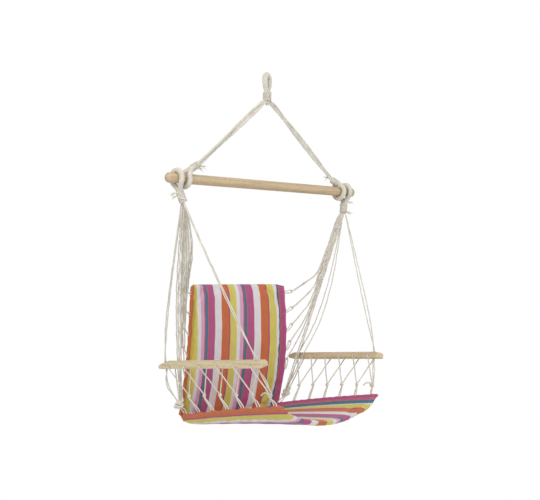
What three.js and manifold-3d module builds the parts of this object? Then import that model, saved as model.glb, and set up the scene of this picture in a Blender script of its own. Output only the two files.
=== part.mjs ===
// Hammock chair that hangs from one hook.
// A served rope eye carries a bridle, the bridle carries a spreader bar, and two rope necks on
// the bar carry a quilted seat and back and two wooden armrests with netting.
// Millimetres, +Z up. The sitter faces -Y and has the left hand at +X.
// The origin is the point of the eye that rests on the hook.

import * as THREE from 'three';
import { mergeVertices } from 'three/addons/utils/BufferGeometryUtils.js';
import Module from 'manifold-3d';

const wasm = await Module();
wasm.setup();

// Clearances
const restGap = 0.3;
const turnGap = 0.5;
const cutOverrun = 3;

// Cords
const cord = 3.6;
const edgeCord = 5;
const cordSides = 6;
const smallestStep = 0.02;
const hookBend = 4;

// Hanging eye
const eyeRope = 18;
const eyeOpening = 13;
const eyeStraight = 18;
const eyeTaper = 14;
const eyeNeck = 18;
const eyeNeckLength = 28;
const eyeTurn = THREE.MathUtils.degToRad(20);
const ropeSides = 10;

// Winding round the neck of the hanging eye
const neckTwine = 3.6;
const neckTwineLoops = 6;
const neckTwinePitch = 4.5;

// Bridle
const crown = 18;
const bridleStrand = 6.2;
const bridleStrands = 3;
const strandGap = 1.6;
const bridleEyeX = 338;
const bridleNeckX = 293;
const bridleNeckRise = 47;

// Spreader bar
const hookToBar = 338;
const barLength = 818;
const barDiameter = 30;
const barDome = 11;
const barSides = 24;

// Rope eyes on the bar and their windings
const barEyeRope = 13;
const sideEyeX = 369;
const sideNeckX = 359;
const sideNeckDrop = 70;
const windingTwine = 3.4;
const windingLoops = { bridle: 5, side: 6 };
const windingPitch = 4.4;
const windingSteps = 10;
const windingSides = 5;

// Seat edges, measured below the bar and from the plane of the bar
const seatRearY = 165;
const seatFrontY = -271;
const seatRearDrop = 706;
const seatFrontDrop = 645;
const seatEdgeArch = 3;
const seatRearHalf = 208;
const seatFrontHalf = 212;
const seatEdgeBow = 6;
const seatFlangeRun = 27;
const seatFlangeDrops = { rear: 22, front: 27 };
const seatSags = { rear: 8, front: 25 };
const seatThicknesses = { rear: 30, front: 38 };
const seatFrontRound = 17;

// Back edges
const backTopDrop = 309;
const backTopY = 133;
const backWaistY = 127;
const backWaistDrop = 450;
const backTopHalf = 207;
const backWideHalf = 220;
const backWideDrop = 590;
const backFlangeRun = 24;
const backFlangeSet = 17;
const backBelly = 16;
const backThickness = 28;
const backTopRound = 13;

// Quilting shared by the seat and the back
const creaseThickness = 3.4;
const quiltSideRound = 38;
const casing = 12;
const hemThickness = 1.6;
const coverWall = 1.4;
const seamTilt = THREE.MathUtils.degToRad(45);
const footRound = 24;
const footStart = 5;
const creaseShare = 0.83;
const padShares = [0, 0.3, 0.52, 0.64, 0.72, 0.775];
const flangeShares = [0.842, 0.944, 0.96, 0.984, 1];
const fillShares = [0, 0.3, 0.52, 0.64, 0.72, 0.76];
const seatMiddleRows = [0.3, 0.6, 0.85];
const backMiddleRows = [0.2, 0.38, 0.6, 0.8];
const rearTieShare = 0.035;

// Armrests
const armWidth = 30;
const armThickness = 19;
const armRear = { x: 286, y: 168, drop: 553 };
const armFront = { x: 254, y: -246, drop: 530 };
const armRoll = THREE.MathUtils.degToRad(12);
const armBevel = { long: 24, high: 11, toe: 3 };
const armEdge = 2;
const netHole = 5.6;
const cordHole = 10;
const rearHoleAlong = 20;
const frontHoleAlong = 388;

// Netting
const netDrops = 6;
const firstNetHole = 45;
const netPitch = 66;
const knot = 10;
const lastKnot = 15;
const rearKnot = 24;
const netKnotXs = { rear: 241, front: 224 };
const netKnotForward = 32;
const netKnotRises = { rear: 54, front: 33 };
const netDropForward = 6;
const netTail = 38;
const hookSteps = 4;
const spotTilt = THREE.MathUtils.degToRad(42);
const cornerSpots = [[-0.4, -0.9], [-0.95, 0.1]];

// Cords between the necks and the back
const backLinks = 5;
const linkLength = 30;
const linkRises = { top: THREE.MathUtils.degToRad(12), foot: THREE.MathUtils.degToRad(64) };
const linkOut = new THREE.Vector2(0.97, -0.24);
const slotPitch = 4.4;
const slotGap = 2;
const bundleSlope = new THREE.Vector2(-0.223, 0.25);
const firstLinkDrop = 332;
const linkPitch = 63;
const firstPeel = 4;
const peelShare = 0.86;

const barZ = -hookToBar;
const sides = [['right', -1], ['left', 1]];
const xAxis = new THREE.Vector3(1, 0, 0);
const yAxis = new THREE.Vector3(0, 1, 0);
const zAxis = new THREE.Vector3(0, 0, 1);

const cotton = new THREE.MeshStandardMaterial({ color: '#d8d2c4', roughness: 0.95, metalness: 0 });
const dowelWood = new THREE.MeshStandardMaterial({ color: '#c6ad86', roughness: 0.6, metalness: 0 });
const armWood = new THREE.MeshStandardMaterial({ color: '#cbb58f', roughness: 0.6, metalness: 0 });
const canvas = new THREE.MeshStandardMaterial({ color: '#b0607f', roughness: 0.9, metalness: 0 });
const wadding = new THREE.MeshStandardMaterial({ color: '#ece9e2', roughness: 1, metalness: 0 });

const lerp = THREE.MathUtils.lerp;

function at(x, y, z) {
  return new THREE.Vector3(x, y, z);
}

function step(from, direction, length) {
  return from.clone().addScaledVector(direction, length);
}

// A path that passes straight from point to point, with its rings on the bisectors.
class Route extends THREE.Curve {
  constructor(points) {
    super();
    this.points = points;
  }

  getPoint(share) {
    const place = share * (this.points.length - 1);
    const first = Math.min(Math.floor(place), this.points.length - 2);
    return this.points[first].clone().lerp(this.points[first + 1], place - first);
  }

  getTangent(share) {
    const place = Math.round(share * (this.points.length - 1));
    const here = this.points[place];
    const before = this.points[Math.max(place - 1, 0)];
    const after = this.points[Math.min(place + 1, this.points.length - 1)];
    const arriving = here.clone().sub(before).normalize();
    const leaving = after.clone().sub(here).normalize();
    return arriving.add(leaving).normalize();
  }

  getUtoTmapping(share) {
    return share;
  }
}

function disc(diameter, sideCount) {
  const turns = Array.from({ length: sideCount }, (_, i) => (2 * Math.PI * i) / sideCount);
  return new THREE.Shape(turns.map((turn) => new THREE.Vector2(Math.cos(turn), Math.sin(turn))
    .multiplyScalar(diameter / 2)));
}

function rod(points, diameter, sideCount = cordSides) {
  const steps = points.length - 1;
  const options = { steps, bevelEnabled: false, extrudePath: new Route(points) };
  return new THREE.ExtrudeGeometry(disc(diameter, sideCount), options);
}

function ball(centre, diameter, across, around) {
  return new THREE.SphereGeometry(diameter / 2, across, around).translate(...centre);
}

function solid(geometry) {
  const bare = geometry.clone();
  bare.deleteAttribute('normal');
  bare.deleteAttribute('uv');
  const merged = mergeVertices(bare);
  const mesh = new wasm.Mesh({
    numProp: 3,
    vertProperties: new Float32Array(merged.attributes.position.array),
    triVerts: new Uint32Array(merged.index.array),
  });
  return new wasm.Manifold(mesh);
}

function shape(body) {
  const mesh = body.asOriginal().simplify(smallestStep).getMesh();
  const geometry = new THREE.BufferGeometry();
  geometry.setAttribute('position', new THREE.BufferAttribute(new Float32Array(mesh.vertProperties), 3));
  geometry.setIndex(new THREE.BufferAttribute(new Uint32Array(mesh.triVerts), 1));
  geometry.computeVertexNormals();
  return geometry;
}

function joined(geometries) {
  return geometries.map(solid).reduce((whole, piece) => whole.add(piece));
}

function without(body, geometries) {
  return geometries.map(solid).reduce((rest, cutter) => rest.subtract(cutter), body);
}

// The two directions square to a line, the first of them as near as can be to the wish.
function squareTo(line, wish) {
  const first = step(wish, line, -wish.dot(line)).normalize();
  return [first, new THREE.Vector3().crossVectors(line, first)];
}

// A winding: one unbroken twine round a core, and its least gap to itself
function windingPoints(start, direction, core, twine, loops, pitch) {
  const [across, along] = squareTo(direction, yAxis);
  const radius = (core / 2 + restGap + twine / 2) / Math.cos(Math.PI / windingSteps);
  const count = loops * windingSteps;
  return Array.from({ length: count + 1 }, (_, i) => {
    const turn = (2 * Math.PI * i) / windingSteps;
    const ring = step(start, direction, (pitch * i) / windingSteps);
    return step(step(ring, across, radius * Math.cos(turn)), along, radius * Math.sin(turn));
  });
}

function reportGap(name, points, twine) {
  const far = Math.round(windingSteps / 2);
  let least = Infinity;
  points.forEach((point, i) => points.slice(i + far).forEach((other) => {
    least = Math.min(least, point.distanceTo(other) - twine);
  }));
  console.log(`${name}: least gap between turns ${least.toFixed(2)} mm`);
}

const chair = new THREE.Group();

function place(name, geometry, material) {
  const mesh = new THREE.Mesh(geometry, material);
  mesh.name = name;
  chair.add(mesh);
  return mesh;
}

function wind(name, start, direction, core, twine, loops, pitch) {
  const points = windingPoints(start, direction, core, twine, loops, pitch);
  reportGap(name, points, twine);
  place(name, rod(points, twine, windingSides), cotton);
}

// Hanging eye: a rope loop whose legs close into a round neck
const eyeBend = (eyeOpening + eyeRope) / 2;
const eyeArcZ = eyeRope / 2 - eyeBend;
const eyeLegEndZ = eyeArcZ - eyeStraight;
const eyeNeckTopZ = eyeLegEndZ - eyeTaper;
const eyeNeckEndZ = eyeNeckTopZ - eyeNeckLength;

function hangingEye() {
  const turns = Array.from({ length: 9 }, (_, i) => (Math.PI * i) / 8);
  const arc = turns.map((turn) => at(eyeBend * Math.cos(turn), 0, eyeArcZ + eyeBend * Math.sin(turn)));
  const legs = [1, -1].map((sign) => [
    at(sign * eyeBend * 0.88, 0, lerp(eyeArcZ, eyeLegEndZ, 0.55)),
    at(sign * eyeRope * 0.34, 0, eyeLegEndZ - eyeTaper * 0.2),
    at(0, 0, eyeNeckTopZ),
  ]);
  const loop = [1, -1].map((sign, i) => {
    const half = sign > 0 ? arc.slice(0, 5) : arc.slice(4).reverse();
    return rod([...legs[i].slice().reverse(), ...half], eyeRope, ropeSides);
  });
  const neck = rod([at(0, 0, eyeLegEndZ - eyeTaper / 2), at(0, 0, eyeNeckEndZ)], eyeNeck, ropeSides);
  return shape(joined([...loop, neck])).rotateZ(eyeTurn);
}

place('hanging_eye', hangingEye(), cotton);

const neckTwineTopZ = eyeNeckTopZ - eyeTaper / 3 - neckTwine / 2;
wind('eye_whipping', at(0, 0, neckTwineTopZ), at(0, 0, -1), eyeNeck, neckTwine,
  neckTwineLoops, neckTwinePitch);

// Crown: the round turn of the bridle cords under the eye, on which both legs swing
const crownZ = eyeNeckEndZ - restGap - crown / 2;
const crownCentre = at(0, 0, crownZ);
place('bridle_crown', ball(crownCentre, crown, 12, 8), cotton);

// Bridle legs: parallel strands from the crown to the eyes on the bar
function bridleNeckEnd(sign) {
  return at(sign * bridleNeckX, 0, barZ + bridleNeckRise);
}

function bridleStrandShape(sign, number) {
  const end = bridleNeckEnd(sign);
  const direction = end.clone().sub(crownCentre).normalize();
  const [across, along] = squareTo(direction, yAxis);
  const turn = (2 * Math.PI * number) / bridleStrands;
  const spacing = (bridleStrand + turnGap) / Math.sqrt(3);
  const aside = across.multiplyScalar(spacing * Math.cos(turn))
    .addScaledVector(along, spacing * Math.sin(turn));
  const strand = rod([crownCentre.clone().add(aside), step(end.add(aside), direction, -strandGap)],
    bridleStrand, 8);
  return shape(without(solid(strand), [ball(crownCentre, crown + 2 * turnGap, 12, 8)]));
}

for (const [side, sign] of sides) {
  for (let number = 0; number < bridleStrands; number += 1) {
    place(`bridle_strand_${side}_${number + 1}`, bridleStrandShape(sign, number), cotton);
  }
}

// Spreader bar: a dowel with domed ends
function spreaderBar() {
  const half = barLength / 2;
  const radius = barDiameter / 2;
  const turns = Array.from({ length: 5 }, (_, i) => (Math.PI / 2) * (i / 4));
  const dome = turns.map((turn) => new THREE.Vector2(radius * Math.sin(turn),
    half - barDome + barDome * Math.cos(turn)));
  const mirrored = dome.map((point) => new THREE.Vector2(point.x, -point.y)).reverse();
  const profile = [...dome, ...mirrored];
  profile[0].x = 0;
  profile[profile.length - 1].x = 0;
  return new THREE.LatheGeometry(profile.reverse(), barSides).rotateZ(-Math.PI / 2)
    .translate(0, 0, barZ);
}

place('spreader_bar', spreaderBar(), dowelWood);

// Rope eyes on the bar. The sense is 1 where the neck rises and -1 where it hangs.
const barEyeRadius = (barDiameter + barEyeRope) / 2 + turnGap;
const barEyeStep = Math.PI / 6;
const barEyeRing = barEyeRadius / Math.cos(barEyeStep / 2);

function barEyeShape(x, sense, neckEnd) {
  const high = neckEnd.z - barZ;
  const base = at(lerp(x, neckEnd.x, 0.3), 0, barZ + sense * barEyeRadius * 1.3);
  const halves = [1, -1].map((face) => {
    const around = [0, 1, 2, 3].map((number) => {
      const turn = number * barEyeStep;
      return at(x, face * barEyeRing * Math.sin(turn), barZ - sense * barEyeRing * Math.cos(turn));
    });
    const shoulder = at(lerp(x, neckEnd.x, 0.12), face * barEyeRadius * 0.8,
      barZ + sense * barEyeRadius * 0.74);
    const pastTop = at(lerp(x, neckEnd.x, 0.4), 0, lerp(base.z, barZ + high, 0.25));
    return rod([step(around[0], yAxis, -face * barEyeRope / 4), ...around, shoulder, pastTop],
      barEyeRope, 8);
  });
  const neck = rod([base, neckEnd], barEyeRope, 8);
  return shape(joined([...halves, neck]));
}

function sideNeckEnd(sign) {
  return at(sign * sideNeckX, 0, barZ - sideNeckDrop);
}

for (const [side, sign] of sides) {
  for (const [name, x, sense, end] of [
    ['bridle', sign * bridleEyeX, 1, bridleNeckEnd(sign)],
    ['side', sign * sideEyeX, -1, sideNeckEnd(sign)],
  ]) {
    place(`${name}_eye_${side}`, barEyeShape(x, sense, end), cotton);
    const base = at(lerp(x, end.x, 0.3), 0, barZ + sense * barEyeRadius * 1.3);
    const direction = base.sub(end).normalize();
    wind(`${name}_whipping_${side}`, step(end, direction, windingTwine / 2), direction, barEyeRope,
      windingTwine, windingLoops[name], windingPitch);
  }
}

// Seat and back surfaces. u runs from -1 at the right edge to 1 at the left edge.
const seatLength = seatRearY - seatFrontY;
const backLength = seatRearDrop - backTopDrop;

function quiltRound(distance, radius) {
  const left = 1 - Math.min(Math.max(distance, 0) / radius, 1);
  return Math.sqrt(1 - left * left);
}

function seatEdge(s) {
  const half = lerp(seatRearHalf, seatFrontHalf, s) + seatEdgeBow * 4 * s * (1 - s);
  const drop = lerp(seatRearDrop, seatFrontDrop, s) - seatEdgeArch * 4 * s * (1 - s);
  return at(half, lerp(seatRearY, seatFrontY, s), barZ - drop);
}

function seatMiddle(u, s) {
  const edge = seatEdge(s);
  const drop = lerp(seatFlangeDrops.rear, seatFlangeDrops.front, s);
  const padHalf = edge.x - seatFlangeRun;
  const beyond = (Math.abs(u) - creaseShare) / (1 - creaseShare);
  if (beyond >= 0) {
    return at(Math.sign(u) * (padHalf + seatFlangeRun * beyond), edge.y, edge.z - drop * (1 - beyond));
  }
  const inward = u / creaseShare;
  const sag = lerp(seatSags.rear, seatSags.front, s) * (1 - inward * inward);
  return at(padHalf * inward, edge.y, edge.z - drop - sag);
}

// t runs from 0 at the foot of the back to 1 at its top.
function backEdge(t) {
  const drop = lerp(seatRearDrop, backTopDrop, t);
  const below = THREE.MathUtils.clamp((drop - backWaistDrop) / (seatRearDrop - backWaistDrop), 0, 1);
  const above = Math.max(backWaistDrop - drop, 0) / (backWaistDrop - backTopDrop);
  const y = backWaistY + (seatRearY - backWaistY) * below * below
    + (backTopY - backWaistY) * above * above;
  const fromWide = (drop - backWideDrop) / (backWideDrop - backTopDrop);
  const half = backWideHalf - (backWideHalf - backTopHalf) * fromWide * fromWide;
  return at(half, y, barZ - drop);
}

function backMiddle(u, t) {
  const edge = backEdge(t);
  const padHalf = edge.x - backFlangeRun;
  const beyond = (Math.abs(u) - creaseShare) / (1 - creaseShare);
  if (beyond >= 0) {
    return at(Math.sign(u) * (padHalf + backFlangeRun * beyond),
      edge.y + backFlangeSet * (1 - beyond), edge.z);
  }
  const inward = u / creaseShare;
  return at(padHalf * inward, edge.y + backFlangeSet + backBelly * (1 - inward * inward), edge.z);
}

// Half the thickness at one place of a quilt with a pad of the given half width and thickness.
function quiltHalf(u, padHalf, thickness, flange) {
  const beyond = (Math.abs(u) - creaseShare) / (1 - creaseShare);
  if (beyond <= 0) {
    const inside = padHalf * (1 - Math.abs(u) / creaseShare);
    return creaseThickness / 2
      + ((thickness - creaseThickness) / 2) * quiltRound(inside, quiltSideRound);
  }
  const fromEdge = flange * (1 - beyond);
  const bulge = quiltRound(casing - fromEdge, casing / 2) * quiltRound(fromEdge, casing / 2);
  return Math.max(hemThickness / 2, (casing / 2) * (fromEdge < casing ? bulge : 0));
}

function normalOf(middle, u, s) {
  const small = 0.002;
  const across = middle(u + small, s).sub(middle(u - small, s));
  const along = middle(u, s + small).sub(middle(u, s - small));
  return across.cross(along).normalize();
}

// A closed slab between two skins of a surface: rows and columns are shares of it.
function slab(rows, columns, skin) {
  const vertices = [];
  const faces = [];
  const index = (face, i, j) => (face * rows.length + i) * columns.length + j;
  for (const face of [0, 1]) {
    rows.forEach((s) => columns.forEach((u) => vertices.push(...skin(u, s, face ? 1 : -1))));
  }
  const quad = (a, b, c, d) => faces.push(a, b, c, a, c, d);
  for (let i = 0; i < rows.length - 1; i += 1) {
    for (let j = 0; j < columns.length - 1; j += 1) {
      quad(index(1, i, j), index(1, i, j + 1), index(1, i + 1, j + 1), index(1, i + 1, j));
      quad(index(0, i, j), index(0, i + 1, j), index(0, i + 1, j + 1), index(0, i, j + 1));
    }
    const last = columns.length - 1;
    quad(index(0, i, 0), index(1, i, 0), index(1, i + 1, 0), index(0, i + 1, 0));
    quad(index(1, i, last), index(0, i, last), index(0, i + 1, last), index(1, i + 1, last));
  }
  for (let j = 0; j < columns.length - 1; j += 1) {
    const last = rows.length - 1;
    quad(index(0, 0, j), index(0, 0, j + 1), index(1, 0, j + 1), index(1, 0, j));
    quad(index(1, last, j), index(1, last, j + 1), index(0, last, j + 1), index(0, last, j));
  }
  const geometry = new THREE.BufferGeometry();
  geometry.setAttribute('position', new THREE.Float32BufferAttribute(vertices, 3));
  geometry.setIndex(faces);
  return geometry;
}

function mirrored(shares) {
  return [...shares.slice(1).reverse().map((share) => -share), ...shares];
}

// The seam plane leans through the corner where the seat's edge meets the back's.
const seamY = seatRearY - casing / 2;
const seamZ = barZ - seatRearDrop + casing / 2;
const seamBlockSize = seatFrontHalf * 4;

// A block on one side of the seam plane: 1 is the seat's side and -1 the back's.
function seamBlock(keepSide, setback) {
  const block = new THREE.BoxGeometry(seamBlockSize, seamBlockSize, seamBlockSize);
  block.translate(0, -keepSide * (seamBlockSize / 2 + setback), 0);
  return block.rotateX(seamTilt).translate(0, seamY, seamZ);
}

// How far a point of a panel lies from the seam, on the seat's side (1) or the back's (-1)
function fromSeam(side, point) {
  return side * (seamY + seamZ - point.y - point.z);
}

// A quilt thins to a rounded end, and to the seam between seat and back.
function endedHalf(u, half, fromEnd, endRound, fromFoot) {
  if (Math.abs(u) >= creaseShare) {
    return half;
  }
  const foot = quiltRound(Math.max(fromFoot, 0) + footStart, footRound);
  return Math.max(creaseThickness / 2, half * quiltRound(fromEnd, endRound) * foot);
}

// Rows of a quilt, as shares of its length: close together where its ends round off
function quiltRows(length, middleRows, endRound, endShares) {
  const foot = [-2.5, -1.15, -0.55, 0.35].map((share) => (share * footRound) / length);
  return [...foot, ...middleRows, ...endShares.map((share) => 1 - (share * endRound) / length)];
}

const endShares = [1, 0.38, 0];
const cavityEndShares = [1, 0.6];
const fillEndShares = [1, 0.64];

const seat = {
  middle: seatMiddle,
  seamSide: 1,
  half(u, s, inner = 0) {
    const thickness = lerp(seatThicknesses.rear, seatThicknesses.front, s);
    const flange = Math.hypot(seatFlangeRun, lerp(seatFlangeDrops.rear, seatFlangeDrops.front, s));
    const half = quiltHalf(u, seatEdge(s).x - seatFlangeRun, thickness, flange);
    return endedHalf(u, half, (1 - s) * seatLength, seatFrontRound, fromSeam(1, seatMiddle(u, s))) - inner;
  },
  rows: (shares) => quiltRows(seatLength, seatMiddleRows, seatFrontRound, shares),
};

const back = {
  middle: backMiddle,
  seamSide: -1,
  half(u, t, inner = 0) {
    const flange = Math.hypot(backFlangeRun, backFlangeSet);
    const half = quiltHalf(u, backEdge(t).x - backFlangeRun, backThickness, flange);
    return endedHalf(u, half, (1 - t) * backLength, backTopRound, fromSeam(-1, backMiddle(u, t))) - inner;
  },
  rows: (shares) => quiltRows(backLength, backMiddleRows, backTopRound, shares),
};

function edgeRoute(panel, sign, from, to, count) {
  return Array.from({ length: count + 1 }, (_, i) => {
    const s = lerp(from, to, i / count);
    const outer = panel.middle(sign, s);
    const inner = panel.middle(sign * 0.9, s);
    return step(outer, inner.sub(outer).normalize(), casing / 2);
  });
}

function edgeCordPoint(panel, sign, s) {
  return edgeRoute(panel, sign, s, s, 1)[0];
}

function slotCutter(panel, sign, s, width) {
  const centre = edgeCordPoint(panel, sign, s);
  const small = 0.01;
  const direction = edgeCordPoint(panel, sign, s + small).sub(centre).normalize();
  const ends = [-width / 2, width / 2].map((length) => step(centre, direction, length));
  return rod(ends, (casing + cord) * Math.SQRT2, 4);
}

// The share along a panel's edge at which its cord has the given height or depth.
function shareAt(panel, measure, value) {
  let low = 0;
  let high = 1;
  const rising = measure(edgeCordPoint(panel, 1, 1)) > measure(edgeCordPoint(panel, 1, 0));
  for (let i = 0; i < 40; i += 1) {
    const middle = (low + high) / 2;
    if (measure(edgeCordPoint(panel, 1, middle)) > value === rising) {
      high = middle;
    } else {
      low = middle;
    }
  }
  return (low + high) / 2;
}

// Armrests: a side outline with bevelled top corners, pushed across the width
const armLength = Math.hypot(armRear.x - armFront.x, armRear.y - armFront.y, armRear.drop - armFront.drop);

function armFrame(sign) {
  const rear = at(sign * armRear.x, armRear.y, barZ - armRear.drop);
  const front = at(sign * armFront.x, armFront.y, barZ - armFront.drop);
  const along = front.clone().sub(rear).normalize();
  const out = xAxis.clone().multiplyScalar(sign).applyAxisAngle(yAxis, sign * armRoll);
  const [across] = squareTo(along, out);
  const up = new THREE.Vector3().crossVectors(along, across).multiplyScalar(sign);
  return { rear, along, across, up };
}

function armPoint(frame, along, across, up) {
  return step(step(step(frame.rear, frame.along, along), frame.across, across), frame.up, up);
}

function armrestShape(sign) {
  const high = armThickness / 2;
  const outline = new THREE.Shape();
  outline.moveTo(armBevel.toe, -high);
  outline.lineTo(armLength - armBevel.toe, -high);
  outline.lineTo(armLength, -high + armBevel.toe);
  outline.lineTo(armLength, high - armBevel.high / 2);
  outline.lineTo(armLength - armBevel.long / 3, high);
  outline.lineTo(armBevel.long, high);
  outline.lineTo(armBevel.long / 4, high - armBevel.high / 2);
  outline.lineTo(0, high - armBevel.high);
  outline.lineTo(0, -high + armBevel.toe);
  const options = {
    depth: armWidth - 2 * armEdge,
    bevelSize: armEdge,
    bevelThickness: armEdge,
    bevelOffset: -armEdge,
    bevelSegments: 1,
  };
  const bar = new THREE.ExtrudeGeometry(outline, options).translate(0, 0, -armWidth / 2 + armEdge);
  const cutters = [];
  for (let number = 0; number < netDrops; number += 1) {
    const along = firstNetHole + number * netPitch;
    cutters.push(rod([at(along, 0, -armWidth / 2 - cutOverrun), at(along, 0, armWidth / 2 + cutOverrun)],
      netHole, 8));
  }
  for (const along of [rearHoleAlong, frontHoleAlong]) {
    cutters.push(rod([at(along, -high - cutOverrun, 0), at(along, high + cutOverrun, 0)], cordHole, 10));
  }
  const drilled = shape(without(solid(bar), cutters));
  const { rear, along, across, up } = armFrame(sign);
  const turned = new THREE.Matrix4().makeBasis(along, up, along.clone().cross(up));
  return drilled.applyMatrix4(turned.setPosition(rear));
}

// Slots in the bundle under a side neck. Rows run from the front cord to the highest link.
function slotFrame(sign) {
  const along = at(-sign * 0.68, 0.73, 0).normalize();
  return { along, across: at(along.y * sign, -along.x * sign, 0) };
}

const bundleRows = backLinks + 3;

function slotPlace(sign, row, column) {
  const { along, across } = slotFrame(sign);
  const neck = step(sideNeckEnd(sign), zAxis, -slotGap);
  const placed = step(neck, along, (row - (bundleRows - 1) / 2) * slotPitch);
  return step(placed, across, column * slotPitch);
}

// Hooks turn in steps, so that a tie round an edge cord needs a little more than its radius.
const tieBend = ((edgeCord + cord) / 2 + restGap) / Math.cos(Math.PI / hookSteps / 2);

function hookPoints(centre, across, toward, bend) {
  return Array.from({ length: hookSteps + 1 }, (_, number) => {
    const turn = (Math.PI * number) / hookSteps;
    return step(step(centre, across, bend * Math.cos(turn)), toward, -bend * Math.sin(turn));
  });
}

// A cord doubled round a bend: two strands along a trunk and a hook at the tip.
function hairpin(trunk, tip, toward, across, bend) {
  const hook = hookPoints(step(tip, toward, bend), across, toward, bend);
  const first = trunk.map(([middle, reach]) => middle.clone().add(reach));
  const second = trunk.map(([middle, reach]) => middle.clone().sub(reach)).reverse();
  return [...first, ...hook, ...second];
}

const trunkShares = [0, 0.25, 0.5, 0.75];

// The trunk of a cord that follows the bundle and then peels off towards its end.
function peelingTrunk(start, end, sign, spread, endSpread, peel) {
  const drop = start.z - end.z;
  const drift = at(sign * bundleSlope.x * drop, bundleSlope.y * drop, 0);
  const extra = at(end.x - start.x, end.y - start.y, 0).sub(drift);
  return trunkShares.map((share) => {
    const middle = step(step(start, drift, share), extra, share ** peel);
    middle.z = start.z - drop * share;
    return [middle, spread.clone().lerp(endSpread, share)];
  });
}

function backLink(sign, number) {
  const drop = firstLinkDrop + number * linkPitch;
  const share = shareAt(back, (point) => point.z, barZ - drop);
  const anchor = edgeCordPoint(back, sign, share);
  const peel = firstPeel * peelShare ** number;
  const start = slotPlace(sign, bundleRows - 1 - number, 0);
  const rise = lerp(linkRises.top, linkRises.foot, number / (backLinks - 1));
  const toward = at(sign * linkOut.x, linkOut.y, 0).normalize().multiplyScalar(Math.cos(rise))
    .add(at(0, 0, Math.sin(rise)));
  const { across } = slotFrame(sign);
  const [flat, steep] = squareTo(toward, across);
  const meet = step(anchor, toward, linkLength);
  const outward = back.middle(sign, share).sub(back.middle(sign * 0.9, share)).normalize();
  return { share, anchor, start, peel, toward, flat, steep, meet, across, outward };
}

function backCordShape(sign, number) {
  const link = backLink(sign, number);
  const tip = step(link.meet, link.toward, -(cord + restGap) / 2);
  const end = step(tip, link.toward, hookBend);
  const spread = link.across.clone().multiplyScalar(slotPitch / 2);
  const endSpread = link.flat.clone().multiplyScalar(hookBend);
  const trunk = peelingTrunk(link.start, end, sign, spread, endSpread, link.peel);
  return rod(hairpin(trunk, tip, link.toward, link.flat, hookBend), cord);
}

function linkLoop(sign, number) {
  const link = backLink(sign, number);
  const tip = step(link.meet, link.toward, (cord + restGap) / 2);
  const away = link.toward.clone().negate();
  const hook = hookPoints(step(tip, away, hookBend), link.steep, away, hookBend);
  const [leaving, entering] = [1, -1].map((face) => [0, (casing + cord) / 2 + turnGap].map((length) => step(
    step(link.anchor, zAxis, face * hookBend * 0.8), link.outward, length)));
  return rod([...leaving, ...hook, ...entering.reverse()], cord);
}

function backEdgeCordShape(sign) {
  const pieces = [rod(edgeRoute(back, sign, 0.03, 0.985, 12), edgeCord, 6)];
  for (let number = 0; number < backLinks; number += 1) {
    pieces.push(linkLoop(sign, number));
  }
  return shape(joined(pieces));
}

// Netting under an armrest
function knotPlace(sign, number) {
  const frame = armFrame(sign);
  const hole = armPoint(frame, firstNetHole + number * netPitch, 0, 0);
  const y = hole.y - netKnotForward;
  const share = shareAt(seat, (point) => point.y, y);
  const forward = number / (netDrops - 1);
  const rise = lerp(netKnotRises.rear, netKnotRises.front, forward);
  return at(sign * lerp(netKnotXs.rear, netKnotXs.front, forward), y,
    edgeCordPoint(seat, sign, share).z + rise);
}

function netAnchor(sign, number) {
  const share = shareAt(seat, (point) => point.y, knotPlace(sign, number).y - netDropForward);
  return { share, point: edgeCordPoint(seat, sign, share) };
}

// A place on the upper side of a knot where a cord ends, towards the given direction in plan.
function knotSpot(centre, size, x, y) {
  const reach = (size + cord) / 2 + restGap;
  const aside = at(x, y, 0).normalize().multiplyScalar(reach * Math.sin(spotTilt));
  return centre.clone().add(aside).add(at(0, 0, reach * Math.cos(spotTilt)));
}

function rearKnotCentre(sign) {
  const corner = edgeCordPoint(seat, sign, 0);
  return at(corner.x + sign * rearKnot * 1.3, corner.y - rearKnot * 0.9, corner.z + rearKnot * 1.55);
}

function netShape(sign) {
  const frame = armFrame(sign);
  const off = armWidth / 2 + cord / 2 + turnGap * 2;
  const low = -armThickness / 2 - cord / 2 - turnGap * 2;
  const drift = cord * 1.2;
  const pieces = [];
  for (let number = 0; number < netDrops; number += 1) {
    const along = firstNetHole + number * netPitch;
    const ahead = knotPlace(sign, number);
    const behind = number > 0 ? knotPlace(sign, number - 1)
      : knotSpot(rearKnotCentre(sign), rearKnot, sign * 0.75, -0.65);
    pieces.push(rod([
      ahead,
      armPoint(frame, along + drift, -sign * off, low),
      armPoint(frame, along, -sign * off, 0),
      armPoint(frame, along, sign * off, 0),
      armPoint(frame, along - drift, sign * off, low),
      behind,
    ], cord));
    pieces.push(ball(ahead, number < netDrops - 1 ? knot : lastKnot, 7, 5));
    const anchor = netAnchor(sign, number).point;
    const toward = ahead.clone().sub(anchor).normalize();
    const [flat] = squareTo(toward, xAxis);
    const tip = step(anchor, toward, -tieBend);
    pieces.push(rod(hairpin([[ahead, flat.clone().multiplyScalar(cord / 3)]], tip, toward, flat, tieBend),
      cord));
  }
  const last = knotPlace(sign, netDrops - 1);
  pieces.push(rod([last, at(last.x, last.y + netTail * 0.5, last.z + cord), at(last.x, last.y + netTail,
    last.z - cord)], cord));
  return shape(joined(pieces));
}

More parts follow.
